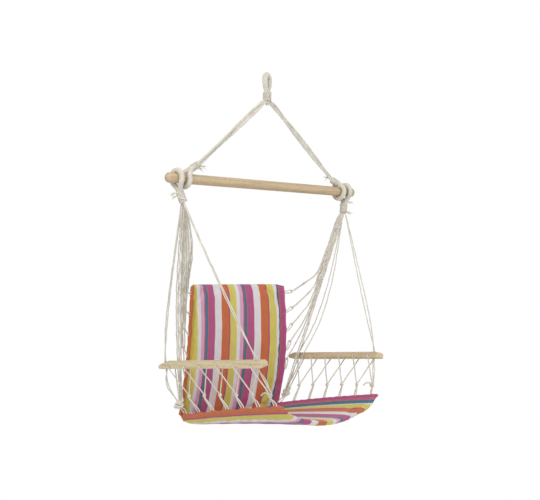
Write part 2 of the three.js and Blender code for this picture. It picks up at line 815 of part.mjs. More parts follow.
// Cord through an armrest: doubled from the neck, through the hole, to its tip below
function armCordShape(sign, holeAlong, row, column, tip) {
  const frame = armFrame(sign);
  const over = armThickness / 2 + cord;
  const top = armPoint(frame, holeAlong, 0, over);
  const bottom = armPoint(frame, holeAlong, 0, -over);
  const start = slotPlace(sign, row, column);
  const toward = bottom.clone().sub(tip).normalize();
  const [flat] = squareTo(toward, yAxis);
  const narrow = frame.along.clone().multiplyScalar(-(cord + turnGap) / 2);
  const { across } = slotFrame(sign);
  const wide = across.clone().add(yAxis).normalize().multiplyScalar(cord);
  const trunk = [
    [start, across.clone().multiplyScalar(slotPitch / 2)],
    [start.clone().lerp(top, 0.3), wide],
    [start.clone().lerp(top, 0.8), yAxis.clone().multiplyScalar(cord)],
    [top, narrow],
    [bottom, narrow],
  ];
  return rod(hairpin(trunk, tip, toward, flat, hookBend / 1.6), cord);
}

function cornerCordShape(sign, number) {
  const start = slotPlace(sign, number + 1, 0);
  const [x, y] = cornerSpots[number];
  const end = knotSpot(rearKnotCentre(sign), rearKnot, sign * x, y);
  return rod([start, end], cord);
}

// Knot at the rear corner with the cord that ties it to the seat's edge cord
function rearKnotShape(sign) {
  const centre = rearKnotCentre(sign);
  const anchor = edgeCordPoint(seat, sign, rearTieShare);
  const toward = centre.clone().sub(anchor).normalize();
  const [flat] = squareTo(toward, xAxis);
  const tie = hairpin([[centre, flat.clone().multiplyScalar(cord / 3)]], step(anchor, toward, -tieBend),
    toward, flat, tieBend);
  return shape(joined([ball(centre, rearKnot, 10, 8), rod(tie, cord)]));
}

function seatEdgeCordShape(sign) {
  return rod(edgeRoute(seat, sign, 0.012, 0.99, 10), edgeCord, 6);
}

function panelSlab(panel, rows, columns, inner) {
  return slab(rows, columns, (u, s, face) => step(panel.middle(u, s), normalOf(panel.middle, u, s),
    face * panel.half(u, s, inner)));
}

function cover(panel, slots) {
  const columns = mirrored([...padShares, creaseShare, ...flangeShares]);
  const outer = panelSlab(panel, panel.rows(endShares), columns, 0);
  const cavity = panelSlab(panel, panel.rows(cavityEndShares), mirrored(fillShares), coverWall);
  const tunnels = sides.map(([, sign]) => rod(edgeRoute(panel, sign, -0.1, 1.02, 14),
    (edgeCord + 2 * turnGap) * 1.2, 5));
  const hollow = without(solid(outer), [cavity, ...tunnels, ...slots]);
  return shape(hollow.intersect(solid(seamBlock(panel.seamSide, restGap / 2))));
}

function filling(panel) {
  const columns = mirrored(fillShares).map((share) => share * 0.99);
  const body = panelSlab(panel, panel.rows(fillEndShares), columns, coverWall + restGap);
  return shape(solid(body).intersect(solid(seamBlock(panel.seamSide, restGap * 2))));
}

const seatSlots = sides.flatMap(([, sign]) => [
  slotCutter(seat, sign, rearTieShare, 2 * cord + 2 * turnGap),
  ...Array.from({ length: netDrops }, (_, number) => slotCutter(seat, sign, netAnchor(sign, number).share,
    cord + 2 * turnGap)),
]);
const backSlots = sides.flatMap(([, sign]) => Array.from({ length: backLinks }, (_, number) => (
  slotCutter(back, sign, backLink(sign, number).share, 2 * hookBend + cord + 2 * turnGap))));

place('seat_cover', cover(seat, seatSlots), canvas);
place('seat_filling', filling(seat), wadding);
place('back_cover', cover(back, backSlots), canvas);
place('back_filling', filling(back), wadding);

for (const [side, sign] of sides) {
  place(`armrest_${side}`, armrestShape(sign), armWood);
  place(`armrest_net_${side}`, netShape(sign), cotton);
  place(`back_edge_cord_${side}`, backEdgeCordShape(sign), cotton);
  place(`seat_edge_cord_${side}`, seatEdgeCordShape(sign), cotton);
  place(`rear_knot_${side}`, rearKnotShape(sign), cotton);
  for (let number = 0; number < backLinks; number += 1) {
    place(`back_cord_${side}_${number + 1}`, backCordShape(sign, number), cotton);
  }
  for (const number of [0, 1]) {
    place(`corner_cord_${side}_${number + 1}`, cornerCordShape(sign, number), cotton);
  }
  const frontSpot = knotSpot(knotPlace(sign, netDrops - 1), lastKnot, 0.8, -0.6);
  const rearSpot = knotSpot(rearKnotCentre(sign), rearKnot, sign * 0.6, 0.8);
  place(`front_cord_${side}`, armCordShape(sign, frontHoleAlong, 0, 0, frontSpot), cotton);
  place(`rear_cord_${side}`, armCordShape(sign, rearHoleAlong, 3, 2, rearSpot), cotton);
}

export default chair;
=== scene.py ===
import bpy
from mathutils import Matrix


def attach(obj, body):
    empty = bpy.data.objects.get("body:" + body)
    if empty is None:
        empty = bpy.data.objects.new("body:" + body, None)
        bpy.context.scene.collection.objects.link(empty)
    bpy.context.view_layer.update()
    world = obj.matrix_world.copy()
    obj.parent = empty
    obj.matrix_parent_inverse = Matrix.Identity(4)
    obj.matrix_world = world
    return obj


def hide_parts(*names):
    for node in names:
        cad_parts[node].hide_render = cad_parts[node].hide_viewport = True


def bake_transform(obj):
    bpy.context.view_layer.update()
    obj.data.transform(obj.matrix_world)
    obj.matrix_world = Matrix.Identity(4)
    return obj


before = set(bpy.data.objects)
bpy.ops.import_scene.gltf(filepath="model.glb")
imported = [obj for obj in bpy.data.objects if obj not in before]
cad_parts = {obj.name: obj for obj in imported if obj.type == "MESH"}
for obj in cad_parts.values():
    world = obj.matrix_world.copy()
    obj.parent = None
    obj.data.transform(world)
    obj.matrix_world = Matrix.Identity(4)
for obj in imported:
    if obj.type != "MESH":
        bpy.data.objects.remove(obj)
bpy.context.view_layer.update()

import math

import bpy
import numpy as np
from mathutils import Matrix, Vector

# Sizes are millimetres, in the frame of the solids: origin on the hook, Z up, the sitter faces -Y.
METRE = 0.001
SIDES = (("right", -1), ("left", 1))
SEED = 7

# Cords
CORD = 3.8
NET_CORD = 4.2
EDGE_ROPE = 5.0
CORD_STEP = 2.0
HOOK_BEND = 4.8

# Hanging eye and bridle
EYE_ROPE = 18.0
EYE_OPENING = 13.0
EYE_STRAIGHT = 18.0
EYE_TAPER = 14.0
EYE_NECK = 18.0
EYE_NECK_LENGTH = 28.0
EYE_TURN = math.radians(20)
EYE_TWINE = 3.6
EYE_TWINE_LOOPS = 11
CROWN = 18.0
BRIDLE_STRAND = 6.6
BRIDLE_STRANDS = 3
BRIDLE_EYE_X = 338.0
BRIDLE_NECK_X = 293.0
BRIDLE_NECK_RISE = 47.0

# Spreader bar and its rope eyes
BAR_Z = -338.0
BAR_LENGTH = 818.0
BAR_DIAMETER = 30.0
BAR_DOME = 11.0
BAR_EYE_ROPE = 16.0
SIDE_EYE_X = 369.0
SIDE_NECK_X = 359.0
SIDE_NECK_DROP = 70.0
WINDING_TWINE = 3.4

# Seat edges, measured below the bar and from the plane of the bar
SEAT_REAR_Y = 165.0
SEAT_FRONT_Y = -271.0
SEAT_REAR_DROP = 706.0
SEAT_FRONT_DROP = 645.0
SEAT_EDGE_ARCH = 3.0
SEAT_REAR_HALF = 208.0
SEAT_FRONT_HALF = 212.0
SEAT_EDGE_BOW = 6.0
SEAT_FLANGE_RUN = 27.0
SEAT_FLANGE_DROPS = (22.0, 27.0)
SEAT_SAGS = (14.0, 38.0)
SEAT_THICKNESSES = (27.0, 29.0)
SEAT_FRONT_ROUND = 11.0

# Back edges
BACK_TOP_DROP = 309.0
BACK_TOP_Y = 133.0
BACK_WAIST_Y = 127.0
BACK_WAIST_DROP = 450.0
BACK_TOP_HALVES = (198.0, 214.0)
BACK_WIDE_HALVES = (218.0, 222.0)
BACK_WIDE_DROP = 620.0
BACK_FLANGE_RUN = 24.0
BACK_FLANGE_SET = 17.0
BACK_BELLY = 16.0
BACK_THICKNESS = 26.0
BACK_TOP_ROUND = 13.0

# Quilting
CREASE_SHARE = 0.83
CREASE_THICKNESS = 3.4
QUILT_SIDE_ROUND = 14.0
CASING = 12.0
CASING_THICKNESS = 7.0
HEM_THICKNESS = 1.8
FOOT_ROUND = 24.0
FOOT_START = 5.0

# Armrests and netting
ARM_WIDTH = 30.0
ARM_THICKNESS = 19.0
ARM_REAR = (286.0, 168.0, 553.0)
ARM_FRONT = (254.0, -246.0, 530.0)
ARM_ROLL = math.radians(12)
ARM_BEVEL_LONG = 24.0
ARM_BEVEL_HIGH = 11.0
ARM_TOE = 3.0
ARM_EDGE = 2.6
NET_HOLE = 5.6
CORD_HOLE = 10.0
REAR_HOLE_ALONG = 20.0
FRONT_HOLE_ALONG = 388.0
NET_DROPS = 6
FIRST_NET_HOLE = 45.0
NET_PITCH = 66.0
KNOT = 11.0
LAST_KNOT = 15.0
REAR_KNOT = 24.0
NET_KNOT_XS = (241.0, 224.0)
NET_KNOT_FORWARD = 32.0
NET_KNOT_RISES = (54.0, 33.0)
NET_DROP_FORWARD = 6.0
NET_DROP_SPREADS = {-1: 5.2, 1: 3.2}
NET_TAIL = 38.0
REAR_TIE_SHARE = 0.035
INSIDE_CORD_AHEAD = (50.0, 43.0)
INSIDE_CORD_GAP = 3.5

# Cords between the necks and the back
BACK_LINKS = 5
LINK_LENGTH = 32.0
LINK_RISES = (math.radians(6), math.radians(64))
LINK_OUT = (0.97, -0.24)
SLOT_PITCH = 4.4
SLOT_GAP = 2.0
BUNDLE_ROWS = BACK_LINKS + 3
BUNDLE_SLOPE = (-0.223, 0.25)
FIRST_LINK_DROP = 336.0
LINK_PITCH = 63.0
FIRST_PEEL = 4.0
PEEL_SHARE = 0.86


def lerp(low, high, share):
    return low + (high - low) * share


def place(x, y, z):
    return np.array((x, y, z), float)


def unit(vector):
    return vector / np.linalg.norm(vector)


def square_to(line, wish):
    """Two directions square to a line, the first as near as can be to the wish."""
    first = unit(wish - line * wish.dot(line))
    return first, np.cross(line, first)


# Camera: the photograph's viewpoint, level with the top of the back, 45 degrees to the right
CAMERA_AZIMUTH = math.radians(-45)
CAMERA_PITCH = math.radians(-1.49)
CAMERA_PLACE = (-2.479, -2.492, -0.631)
CAMERA_LENS = 75.06


def add_camera():
    lens = bpy.data.cameras.new("camera")
    lens.lens = CAMERA_LENS
    lens.sensor_width = 36
    camera = bpy.data.objects.new("camera", lens)
    bpy.context.scene.collection.objects.link(camera)
    back = Vector((
        math.sin(CAMERA_AZIMUTH) * math.cos(CAMERA_PITCH),
        -math.cos(CAMERA_AZIMUTH) * math.cos(CAMERA_PITCH),
        math.sin(CAMERA_PITCH),
    ))
    camera.location = CAMERA_PLACE
    camera.rotation_euler = back.to_track_quat("Z", "Y").to_euler()
    bpy.context.scene.camera = camera


add_camera()


# Colours and nodes
def linear(hex_colour):
    channels = [int(hex_colour[i:i + 2], 16) / 255 for i in (1, 3, 5)]
    return [c / 12.92 if c <= 0.04045 else ((c + 0.055) / 1.055) ** 2.4 for c in channels] + [1.0]


def add_node(tree, kind, settings=(), inputs=(), links=()):
    """Adds a node; a link is (input of the new node, other node, output of the other node)."""
    node = tree.nodes.new(kind)
    for name, value in dict(settings).items():
        setattr(node, name, value)
    for name, value in dict(inputs).items():
        node.inputs[name].default_value = value
    for name, other, output in links:
        tree.links.new(other.outputs[output], node.inputs[name])
    return node


def sums(tree, operation, *terms):
    """Arithmetic on numbers and on outputs of other nodes, each given as the node and its output."""
    inputs = {spot: term for spot, term in enumerate(terms) if not isinstance(term, tuple)}
    links = [(spot, *term) for spot, term in enumerate(terms) if isinstance(term, tuple)]
    return add_node(tree, "ShaderNodeMath", {"operation": operation}, inputs, links)


def seen_rays(tree):
    """1 on rays that reach the eye straight, off a mirror or through glass, and 0 on all others."""
    rays = add_node(tree, "ShaderNodeLightPath")
    seen = sums(tree, "MAXIMUM", (rays, "Is Camera Ray"), (rays, "Is Glossy Ray"))
    return sums(tree, "MAXIMUM", (seen, "Value"), (rays, "Is Transmission Ray"))


def colour_steps(tree, source, output, stops, interpolation="LINEAR"):
    node = add_node(tree, "ShaderNodeValToRGB", links=[("Fac", source, output)])
    node.color_ramp.interpolation = interpolation
    elements = node.color_ramp.elements
    elements.remove(elements[-1])
    for number, (position, colour) in enumerate(stops):
        element = elements[0] if number == 0 else elements.new(position)
        element.position = position
        element.color = linear(colour)
    return node


def new_material(name, roughness, sheen=0.0, specular=0.3):
    material = bpy.data.materials.new(name)
    material.use_nodes = True
    surface = material.node_tree.nodes["Principled BSDF"]
    surface.inputs["Roughness"].default_value = roughness
    surface.inputs["Specular IOR Level"].default_value = specular
    surface.inputs["Sheen Weight"].default_value = sheen
    surface.inputs["Sheen Roughness"].default_value = 0.5
    return material, material.node_tree, surface


def dress(tree, surface, colour, height, strength, depth_mm):
    """Gives a surface its colour and its fine relief."""
    tree.links.new(colour[0].outputs[colour[1]], surface.inputs["Base Color"])
    bump = add_node(tree, "ShaderNodeBump", inputs={"Strength": strength, "Distance": depth_mm * METRE},
                    links=[("Height", height[0], height[1])])
    tree.links.new(bump.outputs["Normal"], surface.inputs["Normal"])


def cotton(name, light, shade, fibre_mm, depth_mm):
    """Undyed cotton yarn, spun and twisted: matt, slightly fuzzy and cream, with fine fibres and patches of
    uneven bleach; painted shade turns it a warmer grey-brown down in the grooves between its strands."""
    material, tree, surface = new_material(name, 0.9, sheen=0.2, specular=0.2)
    position = add_node(tree, "ShaderNodeTexCoord")
    fibres = add_node(tree, "ShaderNodeTexNoise", inputs={"Scale": 1 / (fibre_mm * METRE), "Detail": 2.0},
                      links=[("Vector", position, "Object")])
    patches = add_node(tree, "ShaderNodeTexNoise", inputs={"Scale": 38.0, "Detail": 2.0},
                       links=[("Vector", position, "Object")])
    groove = add_node(tree, "ShaderNodeAttribute", {"attribute_name": "groove"})
    uneven = sums(tree, "MULTIPLY_ADD", (fibres, "Fac"), 0.4, (patches, "Fac"))
    # Painted shade: the grooves between the strands are drawn darker than the strands themselves.
    level = sums(tree, "MULTIPLY_ADD", (groove, "Fac"), -0.15, (uneven, "Value"))
    colour = colour_steps(tree, level, "Value", [(0.2, shade), (0.75, light)])
    dress(tree, surface, (colour, "Color"), (fibres, "Fac"), 0.12, depth_mm)
    return material


# Laid cotton cord: three strands twisted together
laid_cotton = cotton("laid_cotton_cord", "#DCD7CB", "#C0B8A9", 0.9, 0.25)
# Served cotton rope: wrapped side by side with fine cotton, so it looks smooth and a little lighter
served_cotton = cotton("served_cotton_rope", "#D8D3C7", "#C2BBAD", 0.9, 0.2)
# Frayed cotton yarn: loose fibres, lighter than the cord because they are thin
frayed_cotton = cotton("frayed_cotton_yarn", "#E9E4D9", "#C9C2B4", 0.6, 0.2)
# Sewing thread: thin twisted cotton that stands a little proud of the canvas
sewing_thread = cotton("sewing_thread", "#E8E3DA", "#C4BCAE", 0.5, 0.1)


def pale_wood(name, light, dark, grain_mm, length_axis):
    """Sanded, unvarnished pale hardwood: fine grain along the length, broad faint growth bands and short darker
    pores, with the low gloss of sanded fibres."""
    material, tree, surface = new_material(name, 0.6, specular=0.35)
    position = add_node(tree, "ShaderNodeTexCoord")

    def streaks(width_mm, stretch, detail):
        scale = [1 / (width_mm * METRE)] * 3
        scale[length_axis] /= stretch
        drawn = add_node(tree, "ShaderNodeMapping", inputs={"Scale": scale},
                         links=[("Vector", position, "Object")])
        return add_node(tree, "ShaderNodeTexNoise", inputs={"Scale": 1.0, "Detail": detail, "Distortion": 0.4},
                        links=[("Vector", drawn, "Vector")])

    grain = streaks(grain_mm, 45, 3.0)
    bands = streaks(grain_mm * 6, 22, 1.0)
    pores = streaks(grain_mm * 0.5, 14, 0.0)
    pits = add_node(tree, "ShaderNodeMapRange", inputs={"From Min": 0.3, "From Max": 0.42, "To Min": -0.25,
                                                       "To Max": 0.0}, links=[("Value", pores, "Fac")])
    mixed = sums(tree, "MULTIPLY_ADD", (bands, "Fac"), 0.8, (grain, "Fac"))
    level = sums(tree, "ADD", (mixed, "Value"), (pits, "Result"))
    colour = colour_steps(tree, level, "Value", [(0.55, dark), (1.05, light)])
    dress(tree, surface, (colour, "Color"), (level, "Value"), 0.25, 0.3)
    return material


bar_wood = pale_wood("sanded_dowel_wood", "#C8B391", "#AB9676", 1.7, 0)
arm_wood = pale_wood("sanded_armrest_wood", "#D1C29F", "#B5A27F", 1.9, 1)

# Striped canvas: the colours and widths of one repeat, from the yellow stripe towards the sitter's left
STRIPES = (
    ("#CBC062", 27.7), ("#D9D5D6", 15.4), ("#D2A0B9", 14.9), ("#AB4F80", 5.1), ("#41768A", 10.8),
    ("#C06A44", 3.1), ("#AF5583", 27.7), ("#D9D5D6", 29.8), ("#C26A42", 31.3), ("#AB4F80", 5.7),
)
STRIPE_REPEAT = sum(width for _, width in STRIPES)
FIRST_STRIPE_START = -22.0
STRIPE_SWAY = 5.0
THREAD = 1.3


def striped_canvas():
    """Yarn-dyed plain-woven cotton canvas: matt, each stripe streaked lengthwise by its uneven yarns. The map
    holds metres across the cloth and along it. The weave is drawn about twice as coarse as real, so that it
    shows."""
    material, tree, surface = new_material("striped_cotton_canvas", 0.88, sheen=0.15, specular=0.15)
    uv = add_node(tree, "ShaderNodeUVMap")
    split = add_node(tree, "ShaderNodeSeparateXYZ", links=[("Vector", uv, "UV")])
    sway = add_node(tree, "ShaderNodeTexNoise", inputs={"Scale": 11.0, "Detail": 2.0},
                    links=[("Vector", uv, "UV")])
    swayed = sums(tree, "MULTIPLY_ADD", (sway, "Fac"), STRIPE_SWAY * METRE, (split, "X"))
    shifted = sums(tree, "SUBTRACT", (swayed, "Value"), (FIRST_STRIPE_START + STRIPE_SWAY / 2) * METRE)
    repeats = sums(tree, "DIVIDE", (shifted, "Value"), STRIPE_REPEAT * METRE)
    share = sums(tree, "FRACT", (repeats, "Value"))
    stops, start = [], 0.0
    for colour, width in STRIPES:
        stops.append((start / STRIPE_REPEAT, colour))
        start += width
    stripes = colour_steps(tree, share, "Value", stops, "CONSTANT")
    drawn = add_node(tree, "ShaderNodeMapping", inputs={"Scale": (1 / (1.4 * METRE), 8.0, 1.0)},
                     links=[("Vector", uv, "UV")])
    yarns = add_node(tree, "ShaderNodeTexNoise", inputs={"Scale": 1.0, "Detail": 2.0},
                     links=[("Vector", drawn, "Vector")])
    worn = add_node(tree, "ShaderNodeTexNoise", inputs={"Scale": 26.0, "Detail": 3.0},
                    links=[("Vector", uv, "UV")])
    light = sums(tree, "MULTIPLY_ADD", (worn, "Fac"), 0.6, (yarns, "Fac"))
    level = add_node(tree, "ShaderNodeMapRange",
                     inputs={"From Min": 0.5, "From Max": 1.1, "To Min": 0.88, "To Max": 1.1},
                     links=[("Value", light, "Value")])
    tinted = add_node(tree, "ShaderNodeHueSaturation", links=[("Color", stripes, "Color"),
                                                             ("Value", level, "Result")])
    grid = add_node(tree, "ShaderNodeVectorMath", {"operation": "SCALE"}, {"Scale": math.pi / (THREAD * METRE)},
                    [(0, uv, "UV")])
    threads = add_node(tree, "ShaderNodeSeparateXYZ", links=[("Vector", grid, "Vector")])
    warp = sums(tree, "SINE", (threads, "X"))
    weft = sums(tree, "SINE", (threads, "Y"))
    weave = sums(tree, "MULTIPLY_ADD", (warp, "Value"), (weft, "Value"), (yarns, "Fac"))
    dress(tree, surface, (tinted, "Color"), (weave, "Value"), 0.35, 0.35)
    return material


canvas = striped_canvas()


# Trees of geometry nodes
def start_tree(name, sockets):
    tree = bpy.data.node_groups.new(name, "GeometryNodeTree")
    for label, kind in (("Geometry", "NodeSocketGeometry"), *sockets):
        tree.interface.new_socket(label, in_out="INPUT", socket_type=kind)
    tree.interface.new_socket("Geometry", in_out="OUTPUT", socket_type="NodeSocketGeometry")
    return tree, add_node(tree, "NodeGroupInput")


def finish_tree(tree, given, last, output):
    smooth = add_node(tree, "GeometryNodeSetShadeSmooth", links=[("Geometry", last, output)])
    real = add_node(tree, "GeometryNodeRealizeInstances", links=[("Geometry", smooth, "Geometry")])
    coloured = add_node(tree, "GeometryNodeSetMaterial", links=[("Geometry", real, "Geometry"),
                                                              ("Material", given, "Material")])
    add_node(tree, "NodeGroupOutput", links=[("Geometry", coloured, "Geometry")])
    return tree


def rope_tree():
    """Sweeps a lobed section along each line of points. The lobes turn with the lay of the strands, and fine
    ridges across the rope stand for the twine wrapped round it."""
    tree, given = start_tree("rope", (
        ("Lay in diameters", "NodeSocketFloat"), ("Strands", "NodeSocketInt"), ("Groove", "NodeSocketFloat"),
        ("Sides", "NodeSocketInt"), ("Ridge pitch", "NodeSocketFloat"), ("Ridge depth", "NodeSocketFloat"),
        ("Material", "NodeSocketMaterial")))
    lines = add_node(tree, "GeometryNodeMeshToCurve", links=[("Mesh", given, "Geometry")])
    thickness = add_node(tree, "GeometryNodeInputNamedAttribute", {"data_type": "FLOAT"}, {"Name": "thickness"})
    spot = add_node(tree, "GeometryNodeSplineParameter")
    lay = sums(tree, "MULTIPLY", (thickness, "Attribute"), (given, "Lay in diameters"))
    turns = sums(tree, "DIVIDE", (spot, "Length"), (lay, "Value"))
    tilt = sums(tree, "MULTIPLY", (turns, "Value"), 2 * math.pi)
    tilted = add_node(tree, "GeometryNodeSetCurveTilt",
                      links=[("Curve", lines, "Curve"), ("Tilt", tilt, "Value")])

    ridges = sums(tree, "DIVIDE", (spot, "Length"), (given, "Ridge pitch"))
    swell = sums(tree, "PINGPONG", (ridges, "Value"), 0.5)
    dip = sums(tree, "MULTIPLY_ADD", (swell, "Value"), -2.0, 1.0)
    cut = sums(tree, "MULTIPLY", (dip, "Value"), (given, "Ridge depth"))
    kept = sums(tree, "SUBTRACT", 1.0, (cut, "Value"))
    half = sums(tree, "MULTIPLY", (thickness, "Attribute"), 0.5)
    reach = sums(tree, "MULTIPLY", (half, "Value"), (kept, "Value"))

    circle = add_node(tree, "GeometryNodeCurvePrimitiveCircle", {"mode": "RADIUS"}, {"Radius": 1.0},
                      [("Resolution", given, "Sides")])
    index = add_node(tree, "GeometryNodeInputIndex")
    share = sums(tree, "DIVIDE", (index, "Index"), (given, "Sides"))
    lobes = sums(tree, "MULTIPLY", (share, "Value"), (given, "Strands"))
    angle = sums(tree, "MULTIPLY", (lobes, "Value"), 2 * math.pi)
    wave = sums(tree, "COSINE", (angle, "Value"))
    low = sums(tree, "MULTIPLY_ADD", (wave, "Value"), -0.5, 0.5)
    # The depth within the grooves is kept for the cotton material, which paints shade into them.
    marked = add_node(tree, "GeometryNodeStoreNamedAttribute", {"data_type": "FLOAT", "domain": "POINT"},
                      {"Name": "groove"}, [("Geometry", circle, "Curve"), ("Value", low, "Value")])
    depth = sums(tree, "MULTIPLY", (low, "Value"), (given, "Groove"))
    left = sums(tree, "SUBTRACT", 1.0, (depth, "Value"))
    here = add_node(tree, "GeometryNodeInputPosition")
    moved = add_node(tree, "ShaderNodeVectorMath", {"operation": "SCALE"}, {},
                     [(0, here, "Position"), ("Scale", left, "Value")])
    section = add_node(tree, "GeometryNodeSetPosition", links=[("Geometry", marked, "Geometry"),
                                                              ("Position", moved, "Vector")])
    swept = add_node(tree, "GeometryNodeCurveToMesh", {}, {"Fill Caps": True},
                     [("Curve", tilted, "Curve"), ("Profile Curve", section, "Geometry"),
                      ("Scale", reach, "Value")])
    return finish_tree(tree, given, swept, "Mesh")


def stitch_tree():
    """Lays short stitches end to end along each line, each turned along the line."""
    tree, given = start_tree("stitches", (
        ("Pitch", "NodeSocketFloat"), ("Length", "NodeSocketFloat"), ("Thickness", "NodeSocketFloat"),
        ("Material", "NodeSocketMaterial")))
    lines = add_node(tree, "GeometryNodeMeshToCurve", links=[("Mesh", given, "Geometry")])
    spaced = add_node(tree, "GeometryNodeResampleCurve", {"mode": "LENGTH"},
                      links=[("Curve", lines, "Curve"), ("Length", given, "Pitch")])
    grain = add_node(tree, "GeometryNodeMeshUVSphere", inputs={"Segments": 6, "Rings": 4, "Radius": 0.5})
    size = add_node(tree, "ShaderNodeCombineXYZ", links=[("X", given, "Length"), ("Y", given, "Thickness"),
                                                        ("Z", given, "Thickness")])
    stitch = add_node(tree, "GeometryNodeTransform",
                      links=[("Geometry", grain, "Mesh"), ("Scale", size, "Vector")])
    tangent = add_node(tree, "GeometryNodeInputTangent")
    turned = add_node(tree, "FunctionNodeAlignRotationToVector", {"axis": "X"},
                      links=[("Vector", tangent, "Tangent")])
    laid = add_node(tree, "GeometryNodeInstanceOnPoints", links=[
        ("Points", spaced, "Curve"), ("Instance", stitch, "Geometry"), ("Rotation", turned, "Rotation")])
    return finish_tree(tree, given, laid, "Instances")


def made_by(tree, name, mesh, values):
    """The plain mesh that a tree makes of the given one, as an object."""
    source = bpy.data.objects.new(name + "_lines", mesh)
    bpy.context.scene.collection.objects.link(source)
    modifier = source.modifiers.new("nodes", "NODES")
    modifier.node_group = tree
    for item in tree.interface.items_tree:
        if item.item_type == "SOCKET" and item.in_out == "INPUT" and item.name in values:
            modifier[item.identifier] = values[item.name]
    seen = bpy.context.evaluated_depsgraph_get()
    made = bpy.data.meshes.new_from_object(source.evaluated_get(seen), depsgraph=seen)
    bpy.data.objects.remove(source)
    made.name = name
    return show(name, made)


def show(name, mesh):
    piece = bpy.data.objects.new(name, mesh)
    bpy.context.scene.collection.objects.link(piece)
    return piece


def line_mesh(name, lines):
    """Each line is its points and its thickness, in millimetres."""
    points = np.concatenate([path for path, _ in lines]) * METRE
    thickness = np.concatenate([np.broadcast_to(np.asarray(thick, float), (len(path),)) for path, thick in lines])
    edges, start = [], 0
    for path, _ in lines:
        edges.extend((start + i, start + i + 1) for i in range(len(path) - 1))
        start += len(path)
    mesh = bpy.data.meshes.new(name)
    mesh.from_pydata(points.tolist(), edges, [])
    mesh.attributes.new("thickness", "FLOAT", "POINT").data.foreach_set("value", thickness * METRE)
    return mesh


ROPE = rope_tree()
STITCHES = stitch_tree()


def rope(name, lines, material=laid_cotton, lay=5.0, strands=3, groove=0.14, sides=12, pitch=2.0, ridge=0.0):
    return made_by(ROPE, name, line_mesh(name, lines), {
        "Lay in diameters": float(lay), "Strands": strands, "Groove": float(groove), "Sides": sides,
        "Ridge pitch": pitch * METRE, "Ridge depth": float(ridge), "Material": material})


def served_rope(name, lines, pitch=1.9):
    return rope(name, lines, served_cotton, lay=900.0, groove=0.0, sides=18, pitch=pitch, ridge=0.07)


def frayed(name, lines):
    return rope(name, lines, frayed_cotton, lay=900.0, groove=0.0, sides=4)


def stitches(name, lines, pitch=4.2, length=3.0, thickness=0.55):
    return made_by(STITCHES, name, line_mesh(name, [(path, 1.0) for path in lines]), {
        "Pitch": pitch * METRE, "Length": length * METRE, "Thickness": thickness * METRE,
        "Material": sewing_thread})


def hang(piece, body, node=None):
    """Says which body a cotton piece rides on, and which solid it takes the place of."""
    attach(piece, body)
    if node:
        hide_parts(node)


# Lines that cords follow
def distances(path):
    return np.concatenate(([0.0], np.cumsum(np.linalg.norm(np.diff(path, axis=0), axis=1))))


def even_steps(path, spacing):
    distance = distances(path)
    wanted = np.linspace(0, distance[-1], max(2, int(round(distance[-1] / spacing))) + 1)
    return np.stack([np.interp(wanted, distance, path[:, axis]) for axis in range(3)], axis=1)


def curve(points, spacing=CORD_STEP):
    """A smooth line through the points, in even steps. It doesn't swing out where they lie unevenly."""
    points = np.asarray(points, float)
    held = np.vstack([2 * points[0] - points[1], points, 2 * points[-1] - points[-2]])
    pieces = []
    for a, b, c, d in zip(held[:-3], held[1:-2], held[2:-1], held[3:]):
        t1 = np.linalg.norm(b - a) ** 0.5
        t2 = t1 + np.linalg.norm(c - b) ** 0.5
        t3 = t2 + np.linalg.norm(d - c) ** 0.5
        t = np.linspace(t1, t2, max(4, int(np.linalg.norm(c - b) / spacing)) + 1)[:-1, None]
        ab = a * (t1 - t) / t1 + b * t / t1
        bc = b * (t2 - t) / (t2 - t1) + c * (t - t1) / (t2 - t1)
        cd = c * (t3 - t) / (t3 - t2) + d * (t - t2) / (t3 - t2)
        first = ab * (t2 - t) / t2 + bc * t / t2
        second = bc * (t3 - t) / (t3 - t1) + cd * (t - t1) / (t3 - t1)
        pieces.append(first * (t2 - t) / (t2 - t1) + second * (t - t1) / (t2 - t1))
    return even_steps(np.vstack(pieces + [points[-1:]]), spacing)


def seeded(number):
    """The same random numbers on every run."""
    return np.random.default_rng(SEED * 1000 + number)


def ripple(distance, reach, seed):
    """Small uneven waves of about that length, between -1 and 1."""
    random = seeded(seed)
    total = 0.0
    for size, times in ((1.0, 1.0), (0.6, 0.53), (0.35, 0.29)):
        total = total + size * np.sin(2 * np.pi * distance / (reach * times * random.uniform(0.85, 1.15))
                                      + random.uniform(0, 6.28))
    return total / 1.95


def slack(path, amount, seed, reach=60.0):
    """The small waves of a cord that isn't pulled quite tight, fading at its ends."""
    distance = distances(path)
    window = np.sqrt(np.clip(np.sin(np.pi * distance / distance[-1]), 0, 1))
    moves = np.stack([ripple(distance, reach, seed * 3 + axis) for axis in range(3)], axis=1)
    return path + amount * window[:, None] * moves


def hook_turn(centre, across, toward, bend, steps=8):
    return [centre + across * bend * math.cos(turn) - toward * bend * math.sin(turn)
            for turn in np.linspace(0, math.pi, steps + 1)]


def winding(start, direction, radius, loops, pitch, steps=20):
    first, second = square_to(unit(direction), place(0, 1, 0))
    turns = np.linspace(0, 2 * np.pi * loops, int(loops * steps) + 1)[:, None]
    return (start + unit(direction) * pitch * turns / (2 * np.pi) + first * radius * np.cos(turns)
            + second * radius * np.sin(turns))


def frayed_end(root, direction, length, count, seed, spread=0.5):
    """Loose fibres that fan out from the root."""
    random = seeded(seed)
    direction = unit(direction)
    lines = []
    for _ in range(count):
        aside = random.normal(0, 1, 3)
        aside = unit(aside - direction * aside.dot(direction))
        own = length * random.uniform(0.55, 1.0)
        share = np.linspace(0, 1, 6)[:, None]
        path = (root + own * share * direction + own * spread * random.uniform(0.2, 1.0) * share ** 1.5 * aside
                + own * 0.25 * share ** 2 * random.normal(0, 0.5, 3))
        lines.append((path, np.linspace(2.6, 1.0, 6)))
    return lines


